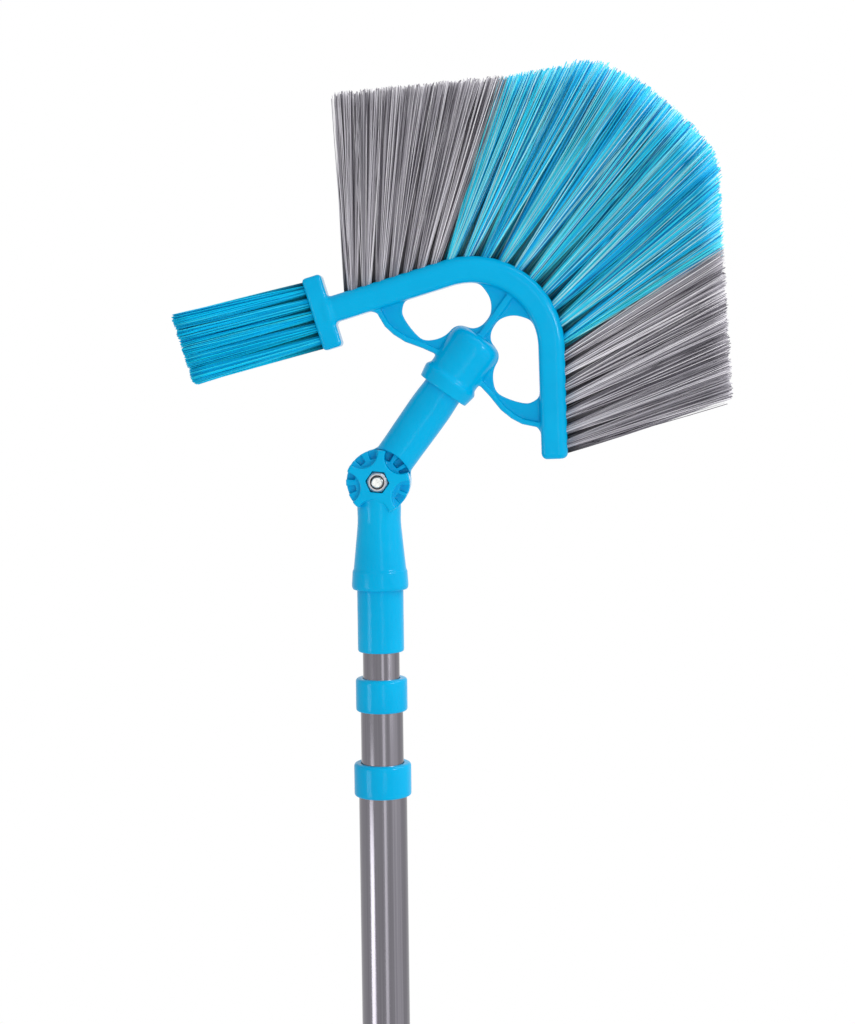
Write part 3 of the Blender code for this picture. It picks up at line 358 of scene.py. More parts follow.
for name, body, outside, inside, guide, top in COLLARS:
    bottom = top - COLLAR_HEIGHT
    ring = [(guide, top, GUIDE_ROUND), (outside, top, COLLAR_TOP_ROUND), (outside, bottom, COLLAR_FOOT_ROUND),
            (inside, bottom, COLLAR_BORE_ROUND), (inside, top - COLLAR_LIP),
            (guide, top - COLLAR_LIP, GUIDE_ROUND)]
    fit(turned(name + "_ring", eased(ring, 6), blue_plastic), body, "blue_plastic", name)

# --- Twist locks -----------------------------------------------------------------------------------
# Inside the pole, a nylon plug in each inner tube's end carries an eccentric post, and a split nylon
# ring round the post grips the wider tube when the pole is twisted. Both are plain mouldings.
nylon, tree, shader = new_finish("pale_nylon", 0.42, specular=0.4)
tree.links.new(blend_paint(tree, grain(tree, 4.0), paint(220, 219, 212), paint(232, 231, 225)),
               shader.inputs["Base Color"])
tree.links.new(between(tree, grain(tree, 1.0), 0.36, 0.5), shader.inputs["Roughness"])
for name in ("lower_cam_plug", "lower_cam_ring", "upper_cam_plug", "upper_cam_ring"):
    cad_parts[name].data.materials.clear()
    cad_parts[name].data.materials.append(nylon)

# --- Pole tip --------------------------------------------------------------------------------------
# A blue plastic sleeve grips the end of the inner tube inside and out, and carries the coarse thread
# that the elbow screws on to. It is moulded in one piece.
SLEEVE_RADIUS = 12.0
SLEEVE_BORE = 9.8
SLEEVE_BOTTOM = 796.3
SLEEVE_TOP = 832.3
SLEEVE_SLOT = 826.6
SPIGOT_RADIUS = 8.7
SPIGOT_LENGTH = 24.0
THREAD_CORE = 8.5
THREAD_CREST = 0.6
THREAD_LENGTH = 22.0
THREAD_PITCH = 5.0
THREAD_ROW = 0.25


def coarse_thread(turns, past):
    """How far the thread stands off its core, at some turns up it and mm past its foot."""
    ridge = np.clip(1.2 - 3.6 * np.abs(turns % 1 - 0.5), 0, 1)
    run_out = np.clip(np.minimum(past, THREAD_LENGTH - past) / 2, 0, 1)
    return THREAD_CREST * (ridge * run_out)


def tip_form(radius, angle, height):
    """The sleeve stays round, and its core carries the thread."""
    past = height - SLEEVE_TOP
    if past < 0.01 or abs(radius - THREAD_CORE) > 1e-6:
        return radius
    return radius + coarse_thread(past / THREAD_PITCH - angle / math.tau, past)


spigot_end = SLEEVE_SLOT - SPIGOT_LENGTH
tip = eased([(0, spigot_end), (SPIGOT_RADIUS, spigot_end, 0.5), (SPIGOT_RADIUS, SLEEVE_SLOT),
             (SLEEVE_BORE, SLEEVE_SLOT), (SLEEVE_BORE, SLEEVE_BOTTOM, 0.2),
             (SLEEVE_RADIUS, SLEEVE_BOTTOM, 1.2), (SLEEVE_RADIUS, SLEEVE_TOP, 0.4), (THREAD_CORE, SLEEVE_TOP)])
tip += [(THREAD_CORE, SLEEVE_TOP + THREAD_ROW * row) for row in range(1, 86)]
tip += [(THREAD_CORE - 0.3, SLEEVE_TOP + 21.8), (THREAD_CORE - 0.8, SLEEVE_TOP + THREAD_LENGTH),
        (0, SLEEVE_TOP + THREAD_LENGTH)]
fit(turned("threaded_sleeve", tip, blue_plastic, form=tip_form), "inner_pole", "blue_plastic", "pole_tip")

# --- Lower half of the elbow -----------------------------------------------------------------------
# The front half of the elbow: a disc with 18 radial teeth on its back, a five-armed star with round
# pockets on its front, a recess for the nut, and a waisted neck that screws on to the pole's tip.
PIVOT = Matrix.Translation((0, 0, 884.6))
SEAM = 0.15
DISC_RADIUS = 16.4
DISC_FACE = 11.5
DISC_EDGE = 1.5
SWING_RADIUS = 16.55
BOLT_HOLE = 3.3
TEETH = 18
TEETH_FROM = 9.0
TEETH_TO = 15.4
TOOTH_DEPTH = 1.2
TOOTH_VALLEY = 0.85
POCKET_FLOOR = 6.5
POCKET_RADIUS = 8.4
POCKET_EDGE = 0.6
POCKET_FROM_PIVOT = 17.35
POCKET_UNDER_NECK = 3
STAR_TURN = 9.6
STAR_EDGE = 0.5
NOTCHES = (19.0, 42.0, 66.5, 101.0, 129.5, 167.5, 195.0, 322.0, 345.0)
NOTCH_FROM = 11.7
NOTCH_SPREAD = 0.135
NOTCH_FLOOR = 2.2
NUT_TURN = 24.0
NUT_RECESS = 10.6
NUT_FLOOR = 7.0
NECK = eased([(-9.0, -8.5), (11.2, -8.5, 1.0), (11.4, -14.0, 3.0), (11.0, -20.0, 4.0), (12.15, -31.34, 6.0),
              (13.35, -43.0, 2.0), (13.6, -45.4, 0.5), (14.2, -46.3, 0.5), (14.7, -54.3, 0.8),
              (14.1, -55.8, 0.4), (12.15, -55.8, 0.3), (12.15, -52.0), (9.4, -52.0), (9.4, -28.0),
              (-9.0, -28.0)], 3)


def toothed_disc(x, depth, z):
    """Half of the joint, with `depth` mm from its toothed face at the seam to the outer face."""
    around = np.hypot(x, z)
    tooth = np.arctan2(z, x) / math.tau * TEETH
    wave = np.minimum(np.abs(tooth % 1 - 0.5) * 2, TOOTH_VALLEY)
    on_teeth = np.clip((around - TEETH_FROM) * 2, 0, 1) * np.clip((TEETH_TO - around) * 2, 0, 1)
    disc = meet(around - DISC_RADIUS, depth - DISC_FACE, DISC_EDGE)
    return meet(disc, SEAM + TOOTH_DEPTH * wave * on_teeth - depth, 0.2)


def hexagon(x, z, across, turn):
    """Distance from a hexagon, with the middle of one flat at `turn` degrees."""
    turns = [math.radians(turn + 60 * pair) for pair in range(3)]
    flats = [np.abs(x * math.cos(angle) + z * math.sin(angle)) for angle in turns]
    return np.maximum(np.maximum(flats[0], flats[1]), flats[2]) - across / 2


def lower_half(x, y, z):
    """The star and its teeth, the neck below, the pockets with their notches, and the nut's recess."""
    around = np.hypot(x, z)
    star = toothed_disc(x, -y, z)
    pockets = []
    for gap in range(5):
        angle = math.radians(STAR_TURN + 72 * gap + 36)
        hole = np.hypot(x - POCKET_FROM_PIVOT * math.cos(angle), z - POCKET_FROM_PIVOT * math.sin(angle))
        pockets.append(hole - POCKET_RADIUS)
    under_neck = pockets.pop(POCKET_UNDER_NECK)
    star = cut(star, meet(under_neck, y + POCKET_FLOOR, POCKET_EDGE), STAR_EDGE)
    body = join(star, from_outline(np.hypot(x, y), z, NECK), STAR_EDGE)
    body = cut(body, np.maximum(around - SWING_RADIUS, -SEAM - y), 0.2)
    open_pockets = np.minimum.reduce(pockets)
    body = cut(body, meet(open_pockets, y + POCKET_FLOOR, POCKET_EDGE), STAR_EDGE)
    for notch in NOTCHES:
        angle = math.radians(notch)
        out = x * math.cos(angle) + z * math.sin(angle)
        side = np.abs(z * math.cos(angle) - x * math.sin(angle)) - NOTCH_SPREAD * out
        notch_space = np.maximum(meet(side, NOTCH_FROM - out, 0.5), open_pockets + 0.2)
        body = cut(body, np.maximum(notch_space, y + NOTCH_FLOOR), 0.2)
    body = cut(body, np.maximum(hexagon(x, z, NUT_RECESS, NUT_TURN), y + NUT_FLOOR), 0.3)
    return cut(body, around - BOLT_HOLE, 0.2)


fit(moulded("star_and_neck", lower_half, (-18, -15.5, -57), (18, 15.5, 18), 0.42, blue_plastic, PIVOT),
    "elbow", "blue_plastic", "lower_knuckle")

# --- Upper half of the elbow -----------------------------------------------------------------------
# The rear half of the elbow: the matching toothed disc and a round arm with a slight belly. A coarse
# thread at its end holds the brush head. It leans 36 degrees here, and is moulded like the lower half.
HEAD = PIVOT @ Matrix.Rotation(math.radians(36.0), 4, "Y")
ARM_SHOULDER = 60.7
ARM = eased([(-9.0, 8.0), (10.5, 8.0), (10.5, 20.0, 5.0), (10.95, 40.0, 8.0), (10.95, 48.5, 4.0),
             (10.5, 55.3, 2.0), (10.5, ARM_SHOULDER, 0.3), (-9.0, ARM_SHOULDER)], 3)


def upper_half(x, y, z):
    """The toothed disc and the arm, cleared where the other half swings, and the thread at the end."""
    body = join(toothed_disc(x, y, z), from_outline(np.hypot(x, y), z, ARM), 2.0)
    body = cut(body, np.maximum(np.hypot(x, z) - SWING_RADIUS, y - SEAM), 0.2)
    past = z - ARM_SHOULDER
    turns = past / THREAD_PITCH - np.arctan2(y, x) / math.tau
    ends = np.abs(past - (THREAD_LENGTH - 1) / 2) - (THREAD_LENGTH + 1) / 2
    thread = np.maximum(np.hypot(x, y) - THREAD_CORE - coarse_thread(turns, past), ends)
    return cut(join(body, 0.8 * thread), np.hypot(x, z) - BOLT_HOLE, 0.2)


fit(moulded("disc_and_arm", upper_half, (-18, -12, -18), (18, 12.5, 84), 0.42, blue_plastic, HEAD),
    "head", "blue_plastic", "upper_knuckle")

# --- Nut, bolt, washer and knob --------------------------------------------------------------------
# An M6 bolt clamps the teeth. Its nut sits in the star's recess, and its head in a five-lobed blue
# knob behind the elbow, on a plain washer. Nut, bolt and washer are cold-formed and zinc plated.
BOLT_RADIUS = 3.0
BOLT_TIP = 14.3
BOLT_ROW = 0.125
BOLT_CREST = 0.3
HEAD_HEIGHT = 4.0
HEAD_FAR = 27.4
HEX_ACROSS = 10.0
HEX_FACE = 0.88
HEX_CHAMFER = 1.7
NUT_NEAR = 7.3
NUT_FAR = 12.3
NUT_BORE = BOLT_RADIUS + 0.25
WASHER_BORE = 3.3
WASHER_RADIUS = 9.0
WASHER_NEAR = 11.8
WASHER_FAR = 13.4
KNOB_RADIUS = 13.5
KNOB_MIDDLE = 21.6
KNOB_HALF = 6.1
KNOB_RECESS = 23.1
BOSS_RADIUS = 9.0
BOSS_MIDDLE = 15.5
BOSS_HALF = 1.8
SCALLOP_RADIUS = 6.0
SCALLOP_FROM_BOLT = 16.5
FRONT = PIVOT @ Matrix.Rotation(math.radians(90), 4, "X")
BACK = PIVOT @ Matrix.Rotation(math.radians(-90), 4, "X")

zinc, tree, shader = new_finish("zinc_plate", 0.3, metallic=1.0)
spangle = grain(tree, 1.2, detail=3.0)
tree.links.new(blend_paint(tree, spangle, paint(168, 168, 172), paint(192, 192, 196)),
               shader.inputs["Base Color"])
tree.links.new(between(tree, grain(tree, 0.6, detail=3.0), 0.24, 0.38), shader.inputs["Roughness"])
rough_skin(tree, shader, grain(tree, 0.5, detail=3.0), 0.1, 0.05)

bright_zinc, tree, shader = new_finish("bright_zinc", 0.3, metallic=1.0)
spangle = grain(tree, 1.5, detail=3.0)
tree.links.new(blend_paint(tree, spangle, paint(198, 202, 198), paint(238, 240, 236)),
               shader.inputs["Base Color"])
tree.links.new(between(tree, grain(tree, 0.6, detail=3.0), 0.24, 0.38), shader.inputs["Roughness"])


def six_sided(across, turn):
    """A form that trims a turned piece to a hexagon, but leaves what is narrower."""
    def form(radius, angle, height):
        past_flat = (angle - math.radians(turn) + math.pi / 6) % (math.pi / 3) - math.pi / 6
        return min(radius, across / 2 / math.cos(past_flat))
    return form


def hex_outline(low, high):
    """Profile points of a hexagonal block's outside, from its low end up, with steep chamfers."""
    corner = HEX_ACROSS / math.sqrt(3)
    face = HEX_ACROSS / 2 * HEX_FACE
    chamfer = [(face + (corner - face) * k / 5, HEX_CHAMFER * k / 5) for k in range(6)]
    return [(r, low + rise) for r, rise in chamfer] + [(r, high - rise) for r, rise in reversed(chamfer)]


nut = [(NUT_BORE, NUT_NEAR), *hex_outline(NUT_NEAR, NUT_FAR), (BOLT_RADIUS + 0.65, NUT_FAR), (NUT_BORE, 11.0)]
hex_nut = turned("hex_nut", nut, zinc, 120, FRONT, six_sided(HEX_ACROSS, NUT_TURN), 20)
fit(hex_nut, "elbow", "zinc", "lock_nut")

washer = eased([(WASHER_BORE, WASHER_NEAR, 0.15), (WASHER_RADIUS, WASHER_NEAR, 0.3),
                (WASHER_RADIUS, WASHER_FAR, 0.3), (WASHER_BORE, WASHER_FAR, 0.15)], 3)
fit(turned("clamp_washer", washer, zinc, 96, BACK), "clamp_washer", "zinc", "lock_washer")


def bolt_form(radius, angle, height):
    """A 1 mm thread towards the bolt's tip, and the hexagon of its head."""
    if radius > BOLT_RADIUS + 0.01:
        return six_sided(HEX_ACROSS, 0)(radius, angle, height)
    if abs(radius - BOLT_RADIUS) < 1e-6 and height > 0:
        return radius - BOLT_CREST * abs((height + angle / math.tau) % 1 * 2 - 1)
    return radius


head_near = -HEAD_FAR + HEAD_HEIGHT
bolt = [(0, -HEAD_FAR), *hex_outline(-HEAD_FAR, head_near), (BOLT_RADIUS, head_near), (BOLT_RADIUS, 0)]
bolt += [(BOLT_RADIUS, BOLT_ROW * row) for row in range(1, 104)]
bolt += [(BOLT_RADIUS - 0.35, BOLT_TIP - 0.9), (BOLT_RADIUS - 0.5, BOLT_TIP - 0.2),
         (BOLT_RADIUS - 0.65, BOLT_TIP), (0, BOLT_TIP)]
bolt_and_head = turned("bolt_and_head", bolt, bright_zinc, 96, FRONT, bolt_form, 20)
fit(bolt_and_head, "clamp_screw", "zinc", "lock_bolt")


def lobed_knob(x, y, z):
    """A cap with five finger scallops on a boss, with the recess that holds the bolt's head."""
    around = np.hypot(x, z)
    boss = meet(around - BOSS_RADIUS, np.abs(y - BOSS_MIDDLE) - BOSS_HALF, 0.5)
    cap = meet(around - KNOB_RADIUS, np.abs(y - KNOB_MIDDLE) - KNOB_HALF, 1.8)
    for lobe in range(5):
        angle = math.radians(90 + 36 + 72 * lobe)
        scallop = np.hypot(x - SCALLOP_FROM_BOLT * math.cos(angle), z - SCALLOP_FROM_BOLT * math.sin(angle))
        cap = cut(cap, scallop - SCALLOP_RADIUS, 1.5)
    body = cut(join(boss, cap, 0.8), around - BOLT_HOLE, 0.2)
    return cut(body, np.maximum(hexagon(x, z, NUT_RECESS, 0), KNOB_RECESS - y), 0.3)


fit(moulded("lobed_knob", lobed_knob, (-14.5, 13.2, -14.5), (14.5, 28.5, 14.5), 0.4, blue_plastic, PIVOT),
    "clamp_screw", "blue_plastic", "lock_knob")

# --- Arched frame ----------------------------------------------------------------------------------
# One blue moulding: an arched bar with the tufts' holes in its outer face, a T-shaped end bar on the
# long arm, a thin web with two windows, a spoke, and the domed socket that screws on to the arm.
ARCH_RADIUS = 47.5
ARCH_MIDDLE = 82.5
ARM_ANGLE = math.radians(52.7)
HALF_ARCH = ARCH_RADIUS * ARM_ANGLE
BAR_WIDTH = 13.5
BAR_HALF_DEPTH = 8.0
BAR_OUTER_CORNER = 5.2
BAR_INNER_CORNER = 2.5
SHORT_ARM = 57.0
LONG_ARM = 62.0
END_BAR_HALF = 19.0
END_BAR_WIDTH = 10.0
END_BAR_EDGE = 2.0
WEB_HALF_DEPTH = 1.5
RIM_HALF_WIDTH = 1.25
RIM_HALF_DEPTH = 4.5
RIM_ENDS = 60.0
SPOKE_HALF_WIDTH = 1.75
SPOKE_HALF_DEPTH = 4.0
SPOKE_MIDDLE = 105.0
SPOKE_HALF = 18.0
STRUT_EDGE = 0.6
OTHER_SIDE = 50.0
UNDERSIDE = [(50.0, 69.8), (43.0, 66.7), (37.0, 65.9), (30.0, 66.3), (21.0, 68.8), (14.5, 70.1), (8.0, 70.6)]
WINDOW = [(19.0, 112.5), (28.5, 105.0), (43.0, 86.5), (41.0, 78.0), (36.5, 75.0), (28.5, 72.5),
          (22.5, 72.0), (17.0, 77.0), (14.4, 82.5), (14.0, 86.0), (12.0, 88.6), (7.5, 90.4), (4.0, 93.2),
          (2.3, 97.5), (2.3, 103.0), (6.5, 108.8), (12.5, 111.5)]
SOCKET = eased([(-9.0, 90.5), (14.3, 90.5, 7.9), (13.5, 66.0, 1.0), (15.0, 64.0, 0.6), (15.0, 62.6, 0.6),
                (13.9, 57.0, 0.5), (-9.0, 57.0)], 6)
SOCKET_BORE = [(-9.0, 85.0), (9.4, 85.0), (9.4, 61.0), (10.8, 61.0), (10.8, 50.0), (-9.0, 50.0)]


def softened(points, rounds=2):
    """Cut the corners off a drawn outline until it is a smooth curve."""
    for _ in range(rounds):
        pairs = list(zip(points, points[1:] + points[:1]))
        points = [(a[0] * (1 - share) + b[0] * share, a[1] * (1 - share) + b[1] * share)
                  for a, b in pairs for share in (0.25, 0.75)]
    return points


def bar_line(along, depth=0.0):
    """A point by its distance along the bar's outer line from the arch's top, and its depth inside."""
    turn = min(abs(along), HALF_ARCH) / ARCH_RADIUS
    past = max(abs(along) - HALF_ARCH, 0)
    radius = ARCH_RADIUS - depth
    across = radius * math.sin(turn) + past * math.cos(turn)
    return math.copysign(across, along), ARCH_MIDDLE + radius * math.cos(turn) - past * math.sin(turn)


def arched_frame(x, y, z):
    """The bar and its end bar, the web with its windows and rim, the spoke, and the bored socket."""
    side = np.abs(x)
    bend_x, bend_z = bar_line(HALF_ARCH)
    past = (side - bend_x) * math.cos(ARM_ANGLE) - (z - bend_z) * math.sin(ARM_ANGLE)
    off_arm = (side - bend_x) * math.sin(ARM_ANGLE) + (z - bend_z) * math.cos(ARM_ANGLE)
    out = np.where(past > 0, off_arm, np.hypot(x, z - ARCH_MIDDLE) - ARCH_RADIUS)
    across = out + BAR_WIDTH / 2
    corner = np.where(across > 0, BAR_OUTER_CORNER, BAR_INNER_CORNER)
    bar = block(across, y, BAR_WIDTH / 2, BAR_HALF_DEPTH, corner)
    bar = meet(bar, past - np.where(x > 0, SHORT_ARM, LONG_ARM + END_BAR_WIDTH / 2), 3.0)
    end_bar = block(across, y, END_BAR_HALF, BAR_HALF_DEPTH, END_BAR_EDGE)
    end_bar = meet(end_bar, np.abs(past - LONG_ARM - END_BAR_WIDTH / 2) - END_BAR_WIDTH / 2, END_BAR_EDGE)
    end_bar = end_bar + np.where(x < 0, 0.0, OTHER_SIDE)

    inner_line = [bar_line(HALF_ARCH * k / 6, BAR_WIDTH / 2) for k in range(7)]
    inner_line.append(bar_line(HALF_ARCH + 50.0, BAR_WIDTH / 2))
    outline = [(-9.0, 70.6), (-9.0, inner_line[0][1]), *inner_line, *UNDERSIDE]
    sheet = from_outline(side, z, outline)
    window = from_outline(side, z, softened(WINDOW))
    web = meet(sheet, np.abs(y) - WEB_HALF_DEPTH, 0.3)
    web = cut(web, window, 0.5)
    rim = block(sheet + RIM_HALF_WIDTH, y, RIM_HALF_WIDTH, RIM_HALF_DEPTH, STRUT_EDGE)
    web = join(web, meet(rim, side - RIM_ENDS), 0.8)
    spoke = block(side, y, SPOKE_HALF_WIDTH, SPOKE_HALF_DEPTH, STRUT_EDGE)
    spoke = meet(spoke, np.abs(z - SPOKE_MIDDLE) - SPOKE_HALF)
    socket = from_outline(np.hypot(x, y), z, SOCKET)
    body = join(join(bar, end_bar, 2.0), web, 1.5)
    body = join(body, spoke, 1.2)
    body = join(body, socket, 1.5)
    return cut(body, from_outline(np.hypot(x, y), z, SOCKET_BORE), 0.3)


fit(moulded("arched_frame", arched_frame, (-99, -16, 36), (76, 16, 132), 0.54, blue_plastic, HEAD),
    "head", "blue_plastic", "head_frame")

# --- Fan of bristles -------------------------------------------------------------------------------
# Tufts of crimped plastic filament are folded over staples and shot into holes along the bar, in
# three staggered rows. They are grey on both arms and blue round the arch, trimmed to one outline.
ROOT_SUNK = 2.5
ROWS = (-2.9, 0.0, 2.9)
DEPTH_SPREAD = 3.6
HOLE_INSET = 1.2
TIP_SPREAD = 0.6
CRIMPS = 420.0
# Painted shade: filaments nearer the bar's middle plane than these depths are darkened towards their roots.
PAINTED_SHADE_FROM = 2.5
PAINTED_SHADE_TO = 4.8
TIP_STATIONS = ((-96.5, -130.3, 147.2), (-46.0, -65.0, 203.3), (-22.0, -33.8, 234.4), (-11.0, -13.8, 239.6),
                (0.0, 5.2, 239.6), (12.0, 26.4, 237.1), (25.0, 46.6, 230.3), (46.0, 73.2, 197.2),
                (97.7, 121.2, 138.7))

tufts = bpy.data.node_groups.new("tufts", "GeometryNodeTree")
for label, kind in (
    ("Holes", "Geometry"), ("Filaments", "Int"), ("Hole Radius", "Float"), ("Hole Depth", "Float"),
    ("Tip Depth", "Float"), ("Ragged", "Float"), ("Filament Radius", "Float"), ("Bow", "Float"),
    ("Segments", "Int"), ("Seed", "Int"), ("Finish", "Material"),
):
    tufts.interface.new_socket(label, in_out="INPUT", socket_type="NodeSocket" + kind)
tufts.interface.new_socket("Bristles", in_out="OUTPUT", socket_type="NodeSocketGeometry")
given = tufts.nodes.new("NodeGroupInput").outputs


def sum_up(kind, *values):
    """A sum on one or two numbers."""
    return put(tufts, "ShaderNodeMath", dict(enumerate(values)), operation=kind)


def vector(kind, first, second):
    """A sum on two vectors, or on a vector and a number as its scale."""
    inputs = {0: first, "Scale": second} if kind == "SCALE" else {0: first, 1: second}
    return put(tufts, "ShaderNodeVectorMath", inputs, operation=kind)


def carried(label, kind="FLOAT_VECTOR"):
    """Read back what each point carries under a label."""
    return put(tufts, "GeometryNodeInputNamedAttribute", {"Name": label}, data_type=kind)


def kept(geometry, label, value, kind="FLOAT_VECTOR"):
    """Have each point carry a value under a label."""
    inputs = {"Geometry": geometry, "Name": label, "Value": value}
    return put(tufts, "GeometryNodeStoreNamedAttribute", inputs, data_type=kind, domain="POINT")


def chance(low, high, draw):
    """A random number for each filament, different for each draw."""
    inputs = {"Min": low, "Max": high, "ID": put(tufts, "GeometryNodeInputIndex"),
              "Seed": sum_up("ADD", given["Seed"], draw)}
    return put(tufts, "FunctionNodeRandomValue", inputs, data_type="FLOAT")


points = put(tufts, "GeometryNodeMeshToPoints", {"Mesh": given["Holes"]})
points = put(tufts, "GeometryNodeDuplicateElements", {"Geometry": points, "Amount": given["Filaments"]},
             domain="POINT")
angle = chance(0.0, math.tau, 1)
share = sum_up("SQRT", chance(0.0, 1.0, 2))
off_across = sum_up("MULTIPLY", sum_up("COSINE", angle), share)
off_depth = sum_up("MULTIPLY", sum_up("SINE", angle), share)
inward = (0.0, 1.0, 0.0)
root = vector("ADD", put(tufts, "GeometryNodeInputPosition"),
              vector("SCALE", carried("along"), sum_up("MULTIPLY", off_across, given["Hole Radius"])))
root = vector("ADD", root, vector("SCALE", inward, sum_up("MULTIPLY", off_depth, given["Hole Depth"])))
splay = sum_up("ADD", off_across, chance(-0.3, 0.3, 3))
tip = vector("ADD", carried("tip"), vector("SCALE", carried("across"), splay))
dip = sum_up("ADD", off_depth, chance(-0.25, 0.25, 4))
tip = vector("ADD", tip, vector("SCALE", inward, sum_up("MULTIPLY", dip, given["Tip Depth"])))
axis = put(tufts, "ShaderNodeVectorMath", {0: vector("SUBTRACT", tip, root)}, operation="NORMALIZE")
trim = sum_up("SUBTRACT", chance(-1.0, 0.6, 5), sum_up("POWER", share, 4.0))
tip = vector("ADD", tip, vector("SCALE", axis, sum_up("MULTIPLY", trim, given["Ragged"])))
bow = put(tufts, "ShaderNodeCombineXYZ", {"X": chance(-1.0, 1.0, 6), "Y": chance(-1.0, 1.0, 7),
                                          "Z": chance(-1.0, 1.0, 8)})
points = kept(points, "root", root)
points = kept(points, "end", tip)
points = kept(points, "bow", vector("SCALE", bow, given["Bow"]))
points = kept(points, "tone", chance(0.0, 1.0, 9), "FLOAT")
points = kept(points, "spin", chance(0.0, math.tau, 10), "FLOAT")

strand = put(tufts, "GeometryNodeMeshCylinder",
             {"Vertices": 3, "Side Segments": given["Segments"], "Radius": 1.0, "Depth": 1.0})
local = put(tufts, "GeometryNodeInputPosition")
strand = kept(strand, "rim", local)
from_middle = put(tufts, "ShaderNodeSeparateXYZ", {0: local}).node.outputs["Z"]
strand = kept(strand, "height", sum_up("ADD", from_middle, 0.5), "FLOAT")
placed = put(tufts, "GeometryNodeInstanceOnPoints", {"Points": points, "Instance": strand})
brush = put(tufts, "GeometryNodeRealizeInstances", {"Geometry": placed})
height = carried("height", "FLOAT")
spine = put(tufts, "ShaderNodeMix", {"Factor": height, "A": carried("root"), "B": carried("end")},
            data_type="VECTOR")
arch = sum_up("MULTIPLY", sum_up("MULTIPLY", height, 4.0), sum_up("SUBTRACT", 1.0, height))
spine = vector("ADD", spine, vector("SCALE", carried("bow"), arch))
rim = put(tufts, "ShaderNodeVectorRotate", {"Vector": carried("rim"), "Angle": carried("spin", "FLOAT")},
          rotation_type="Z_AXIS")
rim = put(tufts, "ShaderNodeSeparateXYZ", {0: rim}).node.outputs
sideways = put(tufts, "ShaderNodeVectorMath",
               {0: vector("CROSS_PRODUCT", inward, vector("SUBTRACT", carried("end"), carried("root")))},
               operation="NORMALIZE")
thick = sum_up("MULTIPLY", given["Filament Radius"],
               put(tufts, "ShaderNodeMapRange", {"Value": height, "To Min": 1.0, "To Max": 0.8}))
spine = vector("ADD", spine, vector("SCALE", sideways, sum_up("MULTIPLY", rim["X"], thick)))
spine = vector("ADD", spine, vector("SCALE", inward, sum_up("MULTIPLY", rim["Y"], thick)))
brush = put(tufts, "GeometryNodeSetPosition", {"Geometry": brush, "Position": spine})
brush = put(tufts, "GeometryNodeSetMaterial", {"Geometry": brush, "Material": given["Finish"]})
put(tufts, "NodeGroupOutput", {"Bristles": brush})


def brush_of(name, holes, finish, **sizes):
    """Fill each hole, given by its root, tip, direction along the bar and spread at the tips."""
    mesh = bpy.data.meshes.new(name)
    mesh.from_pydata([hole[0] for hole in holes], [], [])
    for label, column in (("tip", 1), ("along", 2), ("across", 3)):
        data = mesh.attributes.new(label, "FLOAT_VECTOR", "POINT")
        data.data.foreach_set("vector", np.array([hole[column] for hole in holes], float).ravel())
    seeds = bpy.data.objects.new(name, mesh)
    bpy.context.scene.collection.objects.link(seeds)
    modifier = seeds.modifiers.new("tufts", "NODES")
    modifier.node_group = tufts
    sizes = {label.replace("_", " ").title(): value for label, value in sizes.items()} | {"Finish": finish}
    for item in tufts.interface.items_tree:
        if item.in_out == "INPUT" and item.name in sizes:
            modifier[item.identifier] = sizes[item.name]
    bpy.context.view_layer.update()
    filled = seeds.evaluated_get(bpy.context.evaluated_depsgraph_get())
    result = bpy.data.meshes.new_from_object(filled)
    seeds.modifiers.clear()
    seeds.data = result
    result.transform(Matrix.Scale(MM, 4) @ HEAD)
    result.shade_smooth()
    for label in ("root", "end", "bow", "spin", "rim", "tip", "along", "across"):
        if label in result.attributes:
            result.attributes.remove(result.attributes[label])
    return seeds


def tip_line(along):
    """Where the trimmed tips end, over a place along the bar."""
    stations, across, up = zip(*TIP_STATIONS)
    return Vector((np.interp(along, stations, across), 0, np.interp(along, stations, up)))


def fan_holes(start, end, count):
    """Holes between two places along the bar: `count` in the outer rows, the middle row between them."""
    pitch = (end - start) / count
    holes = []
    for row in ROWS:
        for hole in range(count if row else count + 1):
            middle = start + (hole + (0.5 if row else 0.0)) * pitch
            first, last = max(start, middle - pitch / 2), min(end, middle + pitch / 2)
            along = min(max(middle, start + HOLE_INSET), end - HOLE_INSET)
            x, z = bar_line(along, ROOT_SUNK)
            before, after = bar_line(along - 0.5), bar_line(along + 0.5)
            tip = tip_line((first + last) / 2)
            way = (after[0] - before[0], 0, after[1] - before[1])
            spread = (tip_line(last) - tip_line(first)) * TIP_SPREAD
            holes.append(((x, row, z), (tip.x, row * DEPTH_SPREAD, tip.z), way, spread))
    return holes


